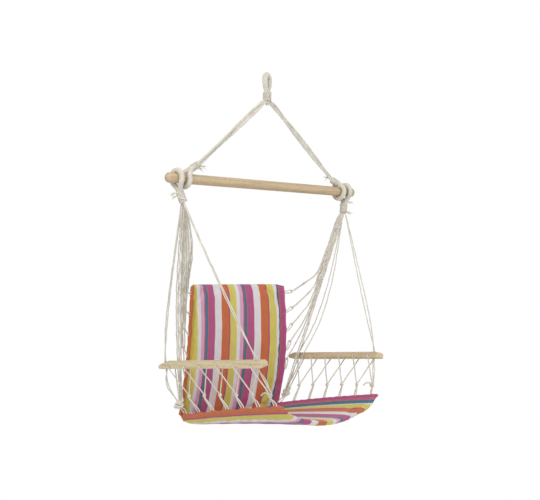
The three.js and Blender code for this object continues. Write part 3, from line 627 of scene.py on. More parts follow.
def knot_line(centre, size, seed, thick=CORD, rise=1.3):
    """An overhand knot pulled tight, longer along Z than it is wide."""
    random = seeded(seed)
    t = np.linspace(0, 2 * np.pi, 60)
    loop = np.stack([np.sin(t) + 2 * np.sin(2 * t), np.cos(t) - 2 * np.cos(2 * t),
                     -1.3 * np.sin(3 * t)], axis=1) / 3
    turn = np.array(Matrix.Rotation(random.uniform(0, 6.28), 3, Vector(unit(random.normal(0, 1, 3)))))
    loop = loop @ turn.T * (size - thick * 0.6) / 2
    return centre + loop * (1, 1, rise), thick


# Where necks, slots, edges and knots lie
EYE_BEND = (EYE_OPENING + EYE_ROPE) / 2
EYE_ARC_Z = EYE_ROPE / 2 - EYE_BEND
EYE_LEG_END_Z = EYE_ARC_Z - EYE_STRAIGHT
EYE_NECK_TOP_Z = EYE_LEG_END_Z - EYE_TAPER
EYE_NECK_END_Z = EYE_NECK_TOP_Z - EYE_NECK_LENGTH
CROWN_CENTRE = place(0, 0, EYE_NECK_END_Z - 0.3 - CROWN / 2)
BAR_EYE_RADIUS = (BAR_DIAMETER + BAR_EYE_ROPE) / 2 + 0.3


def bridle_neck_end(sign):
    if sign < 0:
        return place(-BRIDLE_NECK_X + 9, 0, BAR_Z + BRIDLE_NECK_RISE)
    return place(BRIDLE_NECK_X + 11, 0, BAR_Z + BRIDLE_NECK_RISE - 11)


def side_neck_end(sign):
    lean = 0 if sign > 0 else 12
    return place(sign * (SIDE_NECK_X - lean), -lean / 3, BAR_Z - SIDE_NECK_DROP)


def slot_frame(sign):
    forward = unit(place(-sign * 0.68, 0.73, 0))
    return forward, place(forward[1] * sign, -forward[0] * sign, 0)


def slot_place(sign, row, column=0.0, gather=0.45):
    """Where a cord leaves the neck; gathered 1 is its place in the open bundle below."""
    forward, across = slot_frame(sign)
    neck = side_neck_end(sign) + place(0, 0, SLOT_GAP)
    return neck + gather * (forward * (row - (BUNDLE_ROWS - 1) / 2) + across * column) * SLOT_PITCH


def seat_edge(s):
    half = lerp(SEAT_REAR_HALF, SEAT_FRONT_HALF, s) + SEAT_EDGE_BOW * 4 * s * (1 - s)
    drop = lerp(SEAT_REAR_DROP, SEAT_FRONT_DROP, s) - SEAT_EDGE_ARCH * 4 * s * (1 - s)
    return half, lerp(SEAT_REAR_Y, SEAT_FRONT_Y, s), BAR_Z - drop


def seat_middle(u, s):
    half, y, z = seat_edge(s)
    drop = lerp(SEAT_FLANGE_DROPS[0], SEAT_FLANGE_DROPS[1], s)
    pad = half - SEAT_FLANGE_RUN
    beyond = (np.abs(u) - CREASE_SHARE) / (1 - CREASE_SHARE)
    inward = u / CREASE_SHARE
    sag = lerp(SEAT_SAGS[0], SEAT_SAGS[1], s) * (1 - inward * inward)
    x = np.where(beyond >= 0, np.sign(u) * (pad + SEAT_FLANGE_RUN * beyond), pad * inward)
    height = np.where(beyond >= 0, z - drop * (1 - beyond), z - drop - sag)
    return np.stack(np.broadcast_arrays(x, y, height), axis=-1)


def back_edge(t, sign=1):
    """The right side of the back is drawn in a little more than the left."""
    top, wide = BACK_TOP_HALVES[sign > 0], BACK_WIDE_HALVES[sign > 0]
    drop = lerp(SEAT_REAR_DROP, BACK_TOP_DROP, t)
    below = np.clip((drop - BACK_WAIST_DROP) / (SEAT_REAR_DROP - BACK_WAIST_DROP), 0, 1)
    above = np.maximum(BACK_WAIST_DROP - drop, 0) / (BACK_WAIST_DROP - BACK_TOP_DROP)
    y = BACK_WAIST_Y + (SEAT_REAR_Y - BACK_WAIST_Y) * below ** 2 + (BACK_TOP_Y - BACK_WAIST_Y) * above ** 2
    from_wide = (drop - BACK_WIDE_DROP) / (BACK_WIDE_DROP - BACK_TOP_DROP)
    return wide - (wide - top) * from_wide ** 2, y, BAR_Z - drop


def back_middle(u, t):
    half, y, z = back_edge(t)
    half = np.where(np.asarray(u) < 0, back_edge(t, -1)[0], half)
    pad = half - BACK_FLANGE_RUN
    beyond = (np.abs(u) - CREASE_SHARE) / (1 - CREASE_SHARE)
    inward = u / CREASE_SHARE
    x = np.where(beyond >= 0, np.sign(u) * (pad + BACK_FLANGE_RUN * beyond), pad * inward)
    depth = np.where(beyond >= 0, y + BACK_FLANGE_SET * (1 - beyond),
                     y + BACK_FLANGE_SET + BACK_BELLY * (1 - inward * inward))
    return np.stack(np.broadcast_arrays(x, depth, z), axis=-1)


def edge_point(middle, sign, s):
    """The centre of the casing on a side edge."""
    outer = middle(sign * 1.0, s)
    return outer + unit(middle(sign * 0.9, s) - outer) * CASING / 2


def share_at(middle, axis, value):
    """The share along a panel's edge at which its casing has the given Y or Z."""
    shares = np.linspace(-0.05, 1.05, 300)
    values = np.array([edge_point(middle, 1, share)[axis] for share in shares])
    order = np.argsort(values)
    return float(np.interp(value, values[order], shares[order]))


def arm_frame(sign):
    rear = place(sign * ARM_REAR[0], ARM_REAR[1], BAR_Z - ARM_REAR[2])
    front = place(sign * ARM_FRONT[0], ARM_FRONT[1], BAR_Z - ARM_FRONT[2])
    forward = unit(front - rear)
    across, _ = square_to(forward, place(sign * math.cos(ARM_ROLL), 0, -math.sin(ARM_ROLL)))
    return rear, forward, across, np.cross(forward, across) * sign


def arm_point(sign, forward, across, up):
    rear, ahead, out, high = arm_frame(sign)
    return rear + ahead * forward + out * across + high * up


def knot_place(sign, number):
    y = arm_point(sign, FIRST_NET_HOLE + number * NET_PITCH, 0, 0)[1] - NET_KNOT_FORWARD
    forward = number / (NET_DROPS - 1)
    height = edge_point(seat_middle, 1, share_at(seat_middle, 1, y))[2]
    return place(sign * lerp(*NET_KNOT_XS, forward), y, height + lerp(*NET_KNOT_RISES, forward))


def net_anchor_share(number):
    return share_at(seat_middle, 1, knot_place(1, number)[1] - NET_DROP_FORWARD)


def rear_knot_centre(sign):
    corner = edge_point(seat_middle, sign, 0.0)
    return corner + place(sign * REAR_KNOT * 1.3, -REAR_KNOT * 0.9, REAR_KNOT * 1.55)


# Hanging eye: one served rope bent round, its legs closing into a neck under a winding
def hanging_eye():
    arc = [place(EYE_BEND * math.cos(turn), 0, EYE_ARC_Z + EYE_BEND * math.sin(turn))
           for turn in np.linspace(0, math.pi, 13)]
    leg = [place(EYE_BEND * 0.98, 0, lerp(EYE_ARC_Z, EYE_LEG_END_Z, 0.5)),
           place(EYE_BEND * 0.86, 0, EYE_LEG_END_Z),
           place(EYE_BEND * 0.58, 0, EYE_NECK_TOP_Z + EYE_TAPER * 0.3),
           place(EYE_BEND * 0.38, 0, EYE_NECK_TOP_Z - EYE_TAPER * 0.2),
           place(EYE_BEND * 0.36, 0, EYE_NECK_END_Z + EYE_ROPE * 0.3)]
    points = list(reversed(leg)) + arc + [point * (-1, 1, 1) for point in leg]
    path = curve(points, 0.5) @ np.array(Matrix.Rotation(EYE_TURN, 3, "Z")).T
    height = path[:, 2]
    thick = np.interp(height, [EYE_NECK_END_Z, EYE_NECK_TOP_Z, EYE_LEG_END_Z, EYE_ARC_Z],
                      [12, 14.5, 17.5, EYE_ROPE])
    piece = served_rope("hanging_eye_rope", [(path, thick)])
    hang(piece, "hook_eye", "hanging_eye")
    core = served_rope("hanging_eye_neck", [(curve([
        (0, 0, EYE_NECK_TOP_Z + 3), (0, 0, EYE_NECK_END_Z + 2)], 0.5), EYE_NECK * 0.97)])
    hang(core, "hook_eye")


def eye_winding():
    radius = EYE_NECK / 2 + EYE_TWINE / 2 + 1.0
    top = EYE_NECK_TOP_Z - EYE_TAPER / 3 - EYE_TWINE / 2
    pitch = EYE_TWINE * 0.7
    path = winding(place(0, 0, top), place(0, 0, -1), radius, EYE_TWINE_LOOPS, pitch)
    piece = rope("eye_winding_twine", [(path, EYE_TWINE)], served_cotton, groove=0.05)
    hang(piece, "neck", "eye_whipping")
    tail = frayed("eye_winding_tail", frayed_end(path[-1], place(0.5, -0.4, -0.8), 20, 8, 3))
    hang(tail, "neck")


def crown():
    turns = np.linspace(0, 1, 150)[:, None]
    tilt = np.pi * (0.1 + 0.8 * turns)
    around = 2 * np.pi * 3.5 * turns
    radius = CROWN / 2 - 2.4
    path = CROWN_CENTRE + radius * np.hstack([np.sin(tilt) * np.cos(around), np.sin(tilt) * np.sin(around),
                                              np.cos(tilt)])
    piece = rope("bridle_crown_turns", [(path, 5.4)])
    hang(piece, "crown", "bridle_crown")


def bridle():
    for side, sign in SIDES:
        end = bridle_neck_end(sign)
        direction = unit(end - CROWN_CENTRE)
        across, beside = square_to(direction, place(0, 1, 0))
        for number in range(BRIDLE_STRANDS):
            flat = number - (BRIDLE_STRANDS - 1) / 2
            root = CROWN_CENTRE + place(sign * (8.5 + 2.5 * flat), 2.0 * flat, 3.0 * flat + 3)
            points = [root]
            for share in np.linspace(0.1, 1.0, 9):
                lie = 0.6 * math.sin(share * 6.3 * (1 + 0.15 * sign) + 0.7) if 0.1 < share < 0.95 else 0.0
                wide = lerp(6.4, 5.4, share)
                aside = (beside * sign * flat * wide * math.cos(lie)
                         + across * (flat * wide * math.sin(lie) + 2.2 * (1 - abs(flat))))
                points.append(lerp(CROWN_CENTRE + place(sign * 9, 0, 8 if sign > 0 else 3), end, share) + aside)
            path = slack(curve(points), 0.5, 20 + number + sign)
            piece = rope(f"bridle_cord_{side}_{number + 1}", [(path, BRIDLE_STRAND)])
            hang(piece, "bridle", f"bridle_strand_{side}_{number + 1}")


# Spreader bar
def surface(name, rings, material, smooth=True):
    """A closed skin through rings of points with their ends filled."""
    count, sides = rings.shape[:2]
    faces = [(i * sides + j, i * sides + (j + 1) % sides, (i + 1) * sides + (j + 1) % sides, (i + 1) * sides + j)
             for i in range(count - 1) for j in range(sides)]
    faces.append(tuple(reversed(range(sides))))
    faces.append(tuple((count - 1) * sides + j for j in range(sides)))
    mesh = bpy.data.meshes.new(name)
    mesh.from_pydata((rings.reshape(-1, 3) * METRE).tolist(), [], faces)
    mesh.materials.append(material)
    mesh.polygons.foreach_set("use_smooth", [smooth] * len(mesh.polygons))
    return show(name, mesh)


def spreader_bar():
    half = BAR_LENGTH / 2
    radius = BAR_DIAMETER / 2
    turns = np.linspace(0.12, np.pi / 2, 9)
    dome_x = half - BAR_DOME + BAR_DOME * np.cos(turns)
    dome_radius = radius * np.sin(turns)
    middle = np.linspace(half - BAR_DOME, -(half - BAR_DOME), 24)[1:-1]
    xs = np.concatenate([dome_x, middle, -dome_x[::-1]])
    radii = np.concatenate([dome_radius, np.full(len(middle), radius), dome_radius[::-1]])
    around = np.linspace(0, 2 * np.pi, 48, endpoint=False)
    rings = np.stack([np.stack([np.full(48, x), r * np.cos(around), BAR_Z + r * np.sin(around)], axis=1)
                      for x, r in zip(xs, radii)])
    piece = surface("spreader_bar_dowel", rings[::-1], bar_wood)
    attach(piece, "bar")
    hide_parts("spreader_bar")


# Rope eyes on the bar. The sense is 1 where the neck rises and -1 where it hangs. A tail has the side of the
# photograph's view that it points to, the shares of the neck that it starts at, and a rise.
VIEW_RIGHT = place(math.sqrt(0.5), -math.sqrt(0.5), 0)
TAILS = {("bridle", "right"): (1, (0.1, 0.45), -4.0), ("bridle", "left"): (-1, (0.05,), 11.0),
         ("side", "right"): (-1, (0.55, 0.75), -4.0), ("side", "left"): (1, (0.9, 0.1), -1.0)}
TAIL_ROOT = 8.0
TAIL_LENGTH = 22
TAIL_FIBRES = 8
# For a neck that rises and one that hangs: the pitch, the thickness and the radius of its winding
WINDINGS = {1: (1.9, 2.7, 10.0), -1: (2.5, WINDING_TWINE, 10.6)}
HITCHES = 18
HITCH_START = 2.2
HITCH_TURN = 0.28
HITCH_PITCH = 1.8
HITCH_RADIUS = 11.5
HITCH_SIZE = 5.4
HITCH_TWINE = 2.6
NECK_SHARES = (0, 0.2, 0.85, 1)
NECK_THICKNESSES = (15.0, 20.0, 19.0, 15.5)


def bar_eye(side, name, x, sense, end, body, loops):
    base = place(lerp(x, end[0], 0.3), 0, BAR_Z + sense * BAR_EYE_RADIUS * 1.15)
    turns = np.linspace(-0.62 * np.pi, 0.62 * np.pi, 17)
    ring = [place(x, BAR_EYE_RADIUS * math.sin(turn), BAR_Z - sense * BAR_EYE_RADIUS * math.cos(turn))
            for turn in turns]
    along_neck = unit(end - base)
    reach = np.linalg.norm(end - base)
    inside = [base + along_neck * reach * share + place(0, face, 0) for share, face in ((0.5, 2.0), (0.15, 5.0))]
    points = ([point * (1, -1, 1) for point in inside] + ring + list(reversed(inside)))
    path = curve(points, 0.5)
    piece = served_rope(f"{name}_eye_rope_{side}", [(path, BAR_EYE_ROPE)])
    hang(piece, body, f"{name}_eye_{side}")
    neck_path = curve([base + along_neck * 2, end], 0.5)
    share = distances(neck_path) / distances(neck_path)[-1]
    neck = served_rope(f"{name}_neck_{side}", [(neck_path, np.interp(share, NECK_SHARES, NECK_THICKNESSES))])
    hang(neck, body)
    pitch, thick, radius = WINDINGS[sense]
    path = winding(end - along_neck * WINDING_TWINE / 2, -along_neck, radius, loops, pitch)
    lines = [(path, thick)]
    if sense < 0:
        first, second = square_to(along_neck, place(0, 1, 0))
        for number in range(HITCHES):
            turn = HITCH_START + number * HITCH_TURN
            spot = end - along_neck * (3 + number * HITCH_PITCH) + (
                first * math.cos(turn) + second * math.sin(turn)) * HITCH_RADIUS
            lines.append(knot_line(spot, HITCH_SIZE, 300 + number, HITCH_TWINE, 1.0))
    wound = rope(f"{name}_winding_twine_{side}", lines)
    hang(wound, body, f"{name}_whipping_{side}")
    tails = []
    away, shares, rise = TAILS[name, side]
    for number, share in enumerate(shares):
        root = lerp(end, base, share) + VIEW_RIGHT * away * TAIL_ROOT + place(0, 0, rise)
        tails += frayed_end(root, VIEW_RIGHT * away - place(0, 0, 0.25), TAIL_LENGTH, TAIL_FIBRES,
                            40 + number + int(x))
    fray = frayed(f"{name}_winding_tails_{side}", tails)
    hang(fray, body)


# Cords from the side necks to the back, each hooked through a loop of the back's edge cord
def back_link(sign, number):
    drop = FIRST_LINK_DROP + number * LINK_PITCH
    share = share_at(back_middle, 2, BAR_Z - drop)
    anchor = edge_point(back_middle, sign, share)
    rise = lerp(LINK_RISES[0], LINK_RISES[1], number / (BACK_LINKS - 1))
    out = unit(place(sign * LINK_OUT[0], LINK_OUT[1], 0))
    toward = out * math.cos(rise) + place(0, 0, math.sin(rise))
    flat, steep = square_to(toward, slot_frame(sign)[1])
    outward = unit(back_middle(sign * 1.0, share) - back_middle(sign * 0.9, share))
    return anchor, toward, flat, steep, anchor + toward * LINK_LENGTH, outward


def bow(sign, number, share):
    """How far a back cord hangs aside of its line: late and low on the left, fanned out on the right."""
    _, across = slot_frame(sign)
    if sign > 0:
        power = 6 - 0.75 * number
        peak = power / (power + 1)
        low = (share / peak) ** power * (1 - share) / (1 - peak)
        return (VIEW_RIGHT * lerp(14.0, 10.0, number / 4) - place(0, 0, lerp(10, 0, number / 4))) * low
    return across * lerp(-24.0, 4.0, number / (BACK_LINKS - 1)) * math.sin(math.pi * share)


def back_cord(side, sign, number):
    _, toward, flat, _, meet, _ = back_link(sign, number)
    tip = meet - toward * (CORD + 0.3) / 2
    end = tip + toward * HOOK_BEND
    start = slot_place(sign, BUNDLE_ROWS - 1 - number)
    across = slot_frame(sign)[1]
    drop = start[2] - end[2]
    drift = place(sign * BUNDLE_SLOPE[0] * drop, BUNDLE_SLOPE[1] * drop, 0)
    extra = place(end[0] - start[0], end[1] - start[1], 0) - drift
    peel = FIRST_PEEL * PEEL_SHARE ** number
    open_slot = slot_place(sign, BUNDLE_ROWS - 1 - number, 0, 1.0) - start

    def trunk(share):
        middle = start + drift * share + extra * share ** peel + open_slot * min(share * 8, 1) * (1 - share)
        middle[2] = start[2] - drop * share
        return middle + bow(sign, number, share)

    lines = []
    stop = 1 - 75 / drop if drop > 300 else 0.74
    for face in (1, -1):
        points = [trunk(share) + face * lerp(across * 1.2, flat * 2.2, min(share * 1.5, 1))
                  for share in np.linspace(0, stop, 8)]
        points.append(end + unit(trunk(stop + 0.05) - end) * 24 + face * flat * 4.6)
        hook = hook_turn(end, flat, toward, HOOK_BEND)
        points += hook[:5] if face > 0 else hook[:3:-1]
        lines.append((slack(curve(points), 0.9, 60 + number * 2 + face + sign * 20), CORD))
    piece = rope(f"back_cord_{side}_{number + 1}_strands", lines)
    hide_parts(f"back_cord_{side}_{number + 1}")
    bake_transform(piece)


def back_edge_cord(side, sign):
    shares = np.linspace(0.035, 0.985, 24)
    lines = [(curve([edge_point(back_middle, sign, share) for share in shares]), EDGE_ROPE)]
    for number in range(BACK_LINKS):
        anchor, toward, _, steep, meet, outward = back_link(sign, number)
        tip = meet + toward * (CORD + 0.3) / 2
        hook = hook_turn(tip - toward * HOOK_BEND, steep, -toward, HOOK_BEND)
        leaving = [anchor + place(0, 0, 3.2) + outward * reach for reach in (0, 8)]
        entering = [anchor - place(0, 0, 3.2) + outward * reach for reach in (8, 0)]
        lines.append((curve(leaving + hook + entering, 1.2), CORD))
    piece = rope(f"back_edge_rope_{side}", lines)
    hang(piece, "backrest", f"back_edge_cord_{side}")


# Cords through the armrests and to the rear corners
def doubled(points, gap, seed, amount):
    """Two strands side by side; the gap is between their middles, one vector for each point."""
    return [(slack(curve([point + face * half for point, half in zip(points, gap)]), amount, seed + face), CORD)
            for face in (1, -1)]


def knot_spot(centre, size, x, y):
    reach = size * 0.42
    return centre + unit(place(x, y, 0)) * reach * 0.67 + place(0, 0, reach * 0.74)


def arm_cord(side, sign, name, hole_along, row, column, tip):
    """A doubled cord from a neck through a hole of an armrest and on to its knot. The left rear cord passes
    inside the armrest instead."""
    top = arm_point(sign, hole_along, 0, ARM_THICKNESS / 2)
    bottom = arm_point(sign, hole_along, 0, -ARM_THICKNESS / 2)
    _, forward, across_arm, _ = arm_frame(sign)
    inside = name == "rear" and sign > 0
    if inside:
        top, bottom = [arm_point(sign, hole_along + ahead, -ARM_WIDTH / 2 - INSIDE_CORD_GAP, up)
                       for ahead, up in zip(INSIDE_CORD_AHEAD, (ARM_THICKNESS / 2, -ARM_THICKNESS / 2))]
    start = slot_place(sign, row, column)
    across = slot_frame(sign)[1]
    middle = [start, lerp(start, top, 0.35), lerp(start, top, 0.8)]
    apart = unit(place(-1, 1, 0))
    wide = 4.4 if sign > 0 else 2.0
    gap = [across * 1.4, apart * wide * 0.8, apart * wide]
    if name == "front":
        middle[1] = middle[1] + apart * (-2 if sign > 0 else 4)
        middle[2] = middle[2] + apart * (-3.5 if sign > 0 else 2.5)
    if name == "rear":
        for number, share, aside in ((1, 0.5, 25.0), (2, 0.8, 21.0)):
            middle[number] = lerp(start, top, share) + VIEW_RIGHT * (aside if sign > 0 else -8.0)
        if inside:
            gap = [across * 1.4, VIEW_RIGHT * 6, VIEW_RIGHT * 8]
    held = (13.0, 13.0, 11.0) if inside else (2.3, 2.2, 2.4)
    upper = doubled(middle + [top, lerp(top, bottom, 0.5)], gap + [forward * held[0], forward * held[1]],
                    90 + row, 0.6)
    below_hole = lerp(bottom, tip, 0.5) - (VIEW_RIGHT * 14 if name == "rear" and sign < 0 else 0)
    lower = doubled([lerp(top, bottom, 0.5), bottom, below_hole, tip],
                    [forward * held[1], forward * held[2], forward * 5.0 if inside else across_arm * 3.4,
                     forward * 1.5], 95 + row, 0.8)
    piece = rope(f"{name}_cord_{side}_upper", upper)
    hang(piece, f"armrest_{side}", f"{name}_cord_{side}")
    below = rope(f"{name}_cord_{side}_lower", lower)
    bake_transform(below)


def corner_cord(side, sign, number):
    spots = ((-0.4, -0.9), (-0.95, 0.1))
    start = slot_place(sign, number + 1)
    x, y = spots[number]
    end = knot_spot(rear_knot_centre(sign), REAR_KNOT, sign * x, y)
    across = slot_frame(sign)[1]
    belly = across * (0.0 if sign > 0 else 9.0 + 6.0 * number)
    points = [lerp(start, end, share) + belly * math.sin(math.pi * share) for share in np.linspace(0, 1, 7)]
    gap = [across * lerp(2.2, 2.6, share) for share in np.linspace(0, 1, 7)]
    piece = rope(f"corner_cord_{side}_{number + 1}_strands", doubled(points, gap, 120 + 5 * number + sign, 1.2))
    hang(piece, "sling", f"corner_cord_{side}_{number + 1}")


# The knots that make up a rear corner knot: the share of its size, and the rise and the shift of each
REAR_KNOT_LINES = ((1.1, 0, 0), (0.85, 5, 4), (0.85, -5, -3), (0.5, 0, 0), (0.7, 12, 6), (0.7, -9, -9))
REAR_KNOT_CORD = 6.0


def rear_knot(side, sign):
    centre = rear_knot_centre(sign)
    lines = []
    for number, (size, rise, aside) in enumerate(REAR_KNOT_LINES):
        spot = centre + VIEW_RIGHT * aside + place(0, 0, rise)
        lines.append(knot_line(spot, REAR_KNOT * size, 140 + number + sign, REAR_KNOT_CORD, 1.15))
    anchor = edge_point(seat_middle, sign, REAR_TIE_SHARE)
    ahead = unit(edge_point(seat_middle, sign, REAR_TIE_SHARE + 0.02) - anchor)
    for face in (1, -1):
        foot = anchor + ahead * face * 6
        lines.append((curve([centre - place(0, 0, 6), lerp(centre, foot, 0.55) + ahead * face * 4,
                             foot + place(sign * 2, 0, 4), foot]), NET_CORD))
    piece = rope(f"rear_corner_knot_{side}", lines)
    hang(piece, "sling", f"rear_knot_{side}")


def seat_edge_cord(side, skins, column):
    """Lies in the casing, halfway between its upper and under cloth."""
    path = curve((skins[0][2:-2, column] + skins[1][2:-2, column]) / 2)
    piece = rope(f"seat_edge_rope_{side}", [(path, EDGE_ROPE)])
    hang(piece, "sling", f"seat_edge_cord_{side}")


# Netting under an armrest: zigzag cords through its six holes, knotted in pairs, with doubled drops to the seat
def netting(side, sign):
    off = sign * (ARM_WIDTH / 2 + NET_CORD / 2 - 0.4)
    low = -ARM_THICKNESS / 2
    lines = []
    for number in range(NET_DROPS):
        along = FIRST_NET_HOLE + number * NET_PITCH
        ahead = knot_place(sign, number)
        behind = (knot_place(sign, number - 1) if number
                  else knot_spot(rear_knot_centre(sign), REAR_KNOT, sign * 0.75, -0.65))
        points = [ahead, lerp(ahead, arm_point(sign, along + 5, -off, low - 2), 0.5),
                  arm_point(sign, along + 5, -off, low - 2), arm_point(sign, along + 1, -off * 1.03, -2),
                  arm_point(sign, along, -off * 0.8, 0), arm_point(sign, along, off * 0.8, 0),
                  arm_point(sign, along - 1, off * 1.03, -2), arm_point(sign, along - 5, off, low - 2),
                  lerp(arm_point(sign, along - 5, off, low - 2), behind, 0.5), behind]
        lines.append((slack(curve(points), 0.7, 160 + number + sign * 10), NET_CORD))
        size = KNOT if number < NET_DROPS - 1 else LAST_KNOT
        lines.append(knot_line(ahead, size, 180 + number, NET_CORD, 1.35))
        lines.append(knot_line(ahead - place(0, 0, size * 0.25), size * 0.7, 190 + number, NET_CORD, 1.2))
        share = net_anchor_share(number)
        anchor = edge_point(seat_middle, sign, share)
        forward = unit(edge_point(seat_middle, sign, share + 0.01) - anchor)
        for face in (1, -1):
            foot = anchor + forward * face * NET_DROP_SPREADS[sign]
            lines.append((slack(curve([
                ahead, ahead - place(0, 0, size * 0.6) + forward * face * 1.2,
                lerp(ahead, foot, 0.62) + forward * face * 1.0, foot + place(sign * 1.5, 0, 5), foot]),
                0.5, 200 + number * 2 + face), NET_CORD))
    piece = rope(f"armrest_netting_{side}", lines)
    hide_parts(f"armrest_net_{side}")
    top = arm_point(sign, FIRST_NET_HOLE + 2.5 * NET_PITCH, 0, low)
    foot = edge_point(seat_middle, sign, share_at(seat_middle, 1, top[1]))
    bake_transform(piece)


def net_tail(side, sign):
    last = knot_place(sign, NET_DROPS - 1)
    points = [last, last + place(sign * 2, NET_TAIL * 0.35, 5), last + place(sign * 1, NET_TAIL * 0.7, 3),
              last + place(0, NET_TAIL * 0.93, -4)]
    path = curve(points, 1.5)
    piece = rope(f"net_tail_{side}", [(path, NET_CORD)])
    hang(piece, "sling")


# Armrests: a side outline with bevelled top corners, cut out of a board, its edges eased and its holes drilled
def armrest(side, sign):
    length = math.dist(ARM_REAR, ARM_FRONT)
    high = ARM_THICKNESS / 2
    outline = [(ARM_TOE, -high), (length - ARM_TOE, -high), (length, -high + ARM_TOE),
               (length, high - ARM_BEVEL_HIGH / 2), (length - ARM_BEVEL_LONG / 3, high), (ARM_BEVEL_LONG, high),
               (ARM_BEVEL_LONG / 4, high - ARM_BEVEL_HIGH / 2), (0, high - ARM_BEVEL_HIGH), (0, -high + ARM_TOE)]
    points = [arm_point(sign, along, across * ARM_WIDTH / 2, up) for across in (-1, 1) for along, up in outline]
    count = len(outline)
    faces = [tuple(range(count)), tuple(reversed(range(count, 2 * count)))]
    faces += [((i + 1) % count, i, i + count, (i + 1) % count + count) for i in range(count)]
    mesh = bpy.data.meshes.new(f"armrest_board_{side}")
    mesh.from_pydata([tuple(point * METRE) for point in points], [], faces)
    piece = show(f"armrest_board_{side}", mesh)
    bevel = piece.modifiers.new("eased_edges", "BEVEL")
    bevel.width = ARM_EDGE * METRE
    bevel.segments = 3
    bevel.limit_method = "ANGLE"
    bevel.angle_limit = math.radians(12)
    cutters = []
    spots = [(FIRST_NET_HOLE + number * NET_PITCH, (0, -ARM_WIDTH), (0, ARM_WIDTH), NET_HOLE)
             for number in range(NET_DROPS)]
    spots += [(along, (-ARM_THICKNESS, 0), (ARM_THICKNESS, 0), CORD_HOLE)
              for along in (REAR_HOLE_ALONG, FRONT_HOLE_ALONG)]
    for number, (along, first, second, width) in enumerate(spots):
        ends = [arm_point(sign, along, across, up) for up, across in (first, second)]
        hole = rope(f"drill_{side}_{number}", [(np.array(ends), width)], arm_wood, lay=900, groove=0, sides=24)
        cut = piece.modifiers.new("hole", "BOOLEAN")
        cut.operation = "DIFFERENCE"
        cut.solver = "EXACT"
        cut.object = hole
        hole.hide_render = True
        cutters.append(hole)
    seen = bpy.context.evaluated_depsgraph_get()
    drilled = bpy.data.meshes.new_from_object(piece.evaluated_get(seen), depsgraph=seen)
    piece.modifiers.clear()
    piece.data = drilled
    for hole in cutters:
        bpy.data.objects.remove(hole)
    drilled.materials.clear()
    drilled.materials.append(arm_wood)
    drilled.polygons.foreach_set("material_index", [0] * len(drilled.polygons))
    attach(piece, f"armrest_{side}")
    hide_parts(f"armrest_{side}")


# Quilted panels: a pad between two creases, with a flat flange and a rope casing beyond each crease
SEAM_Y = SEAT_REAR_Y - CASING / 2
SEAM_Z = BAR_Z - SEAT_REAR_DROP + CASING / 2
# For each side: how far out the cloth of the pad reaches, and where and how densely that of the flange starts
BACK_CLOTH = {1: (203.0, 217.5, 1.0), -1: (190.0, 199.5, 0.86)}
SEAT_CLOTH = {1: (190.0, 211.0, 0.8), -1: (192.0, 193.5, 0.9)}
SWELL = 5.0
SETTLE_FRAMES = 20
CLOTH_QUALITY = 5
CLOTH_PRESSURE = 4.0
CLOTH_SHRINK = -0.035


def rounded(distance, radius):
    return np.sqrt(1 - (1 - np.clip(distance / radius, 0, 1)) ** 2)


def quilt_half(u, pad, thickness, flange):
    beyond = (np.abs(u) - CREASE_SHARE) / (1 - CREASE_SHARE)
    inside = pad * (1 - np.abs(u) / CREASE_SHARE)
    padded = CREASE_THICKNESS / 2 + (thickness - CREASE_THICKNESS) / 2 * rounded(np.maximum(inside, 0),
                                                                                QUILT_SIDE_ROUND)
    from_edge = flange * (1 - beyond)
    bulge = np.sqrt(np.maximum(0, 1 - ((from_edge - CASING / 2) / (CASING / 2)) ** 2))
    flat = np.maximum(HEM_THICKNESS / 2, CASING_THICKNESS / 2 * bulge)
    return np.where(beyond <= 0, padded, flat)


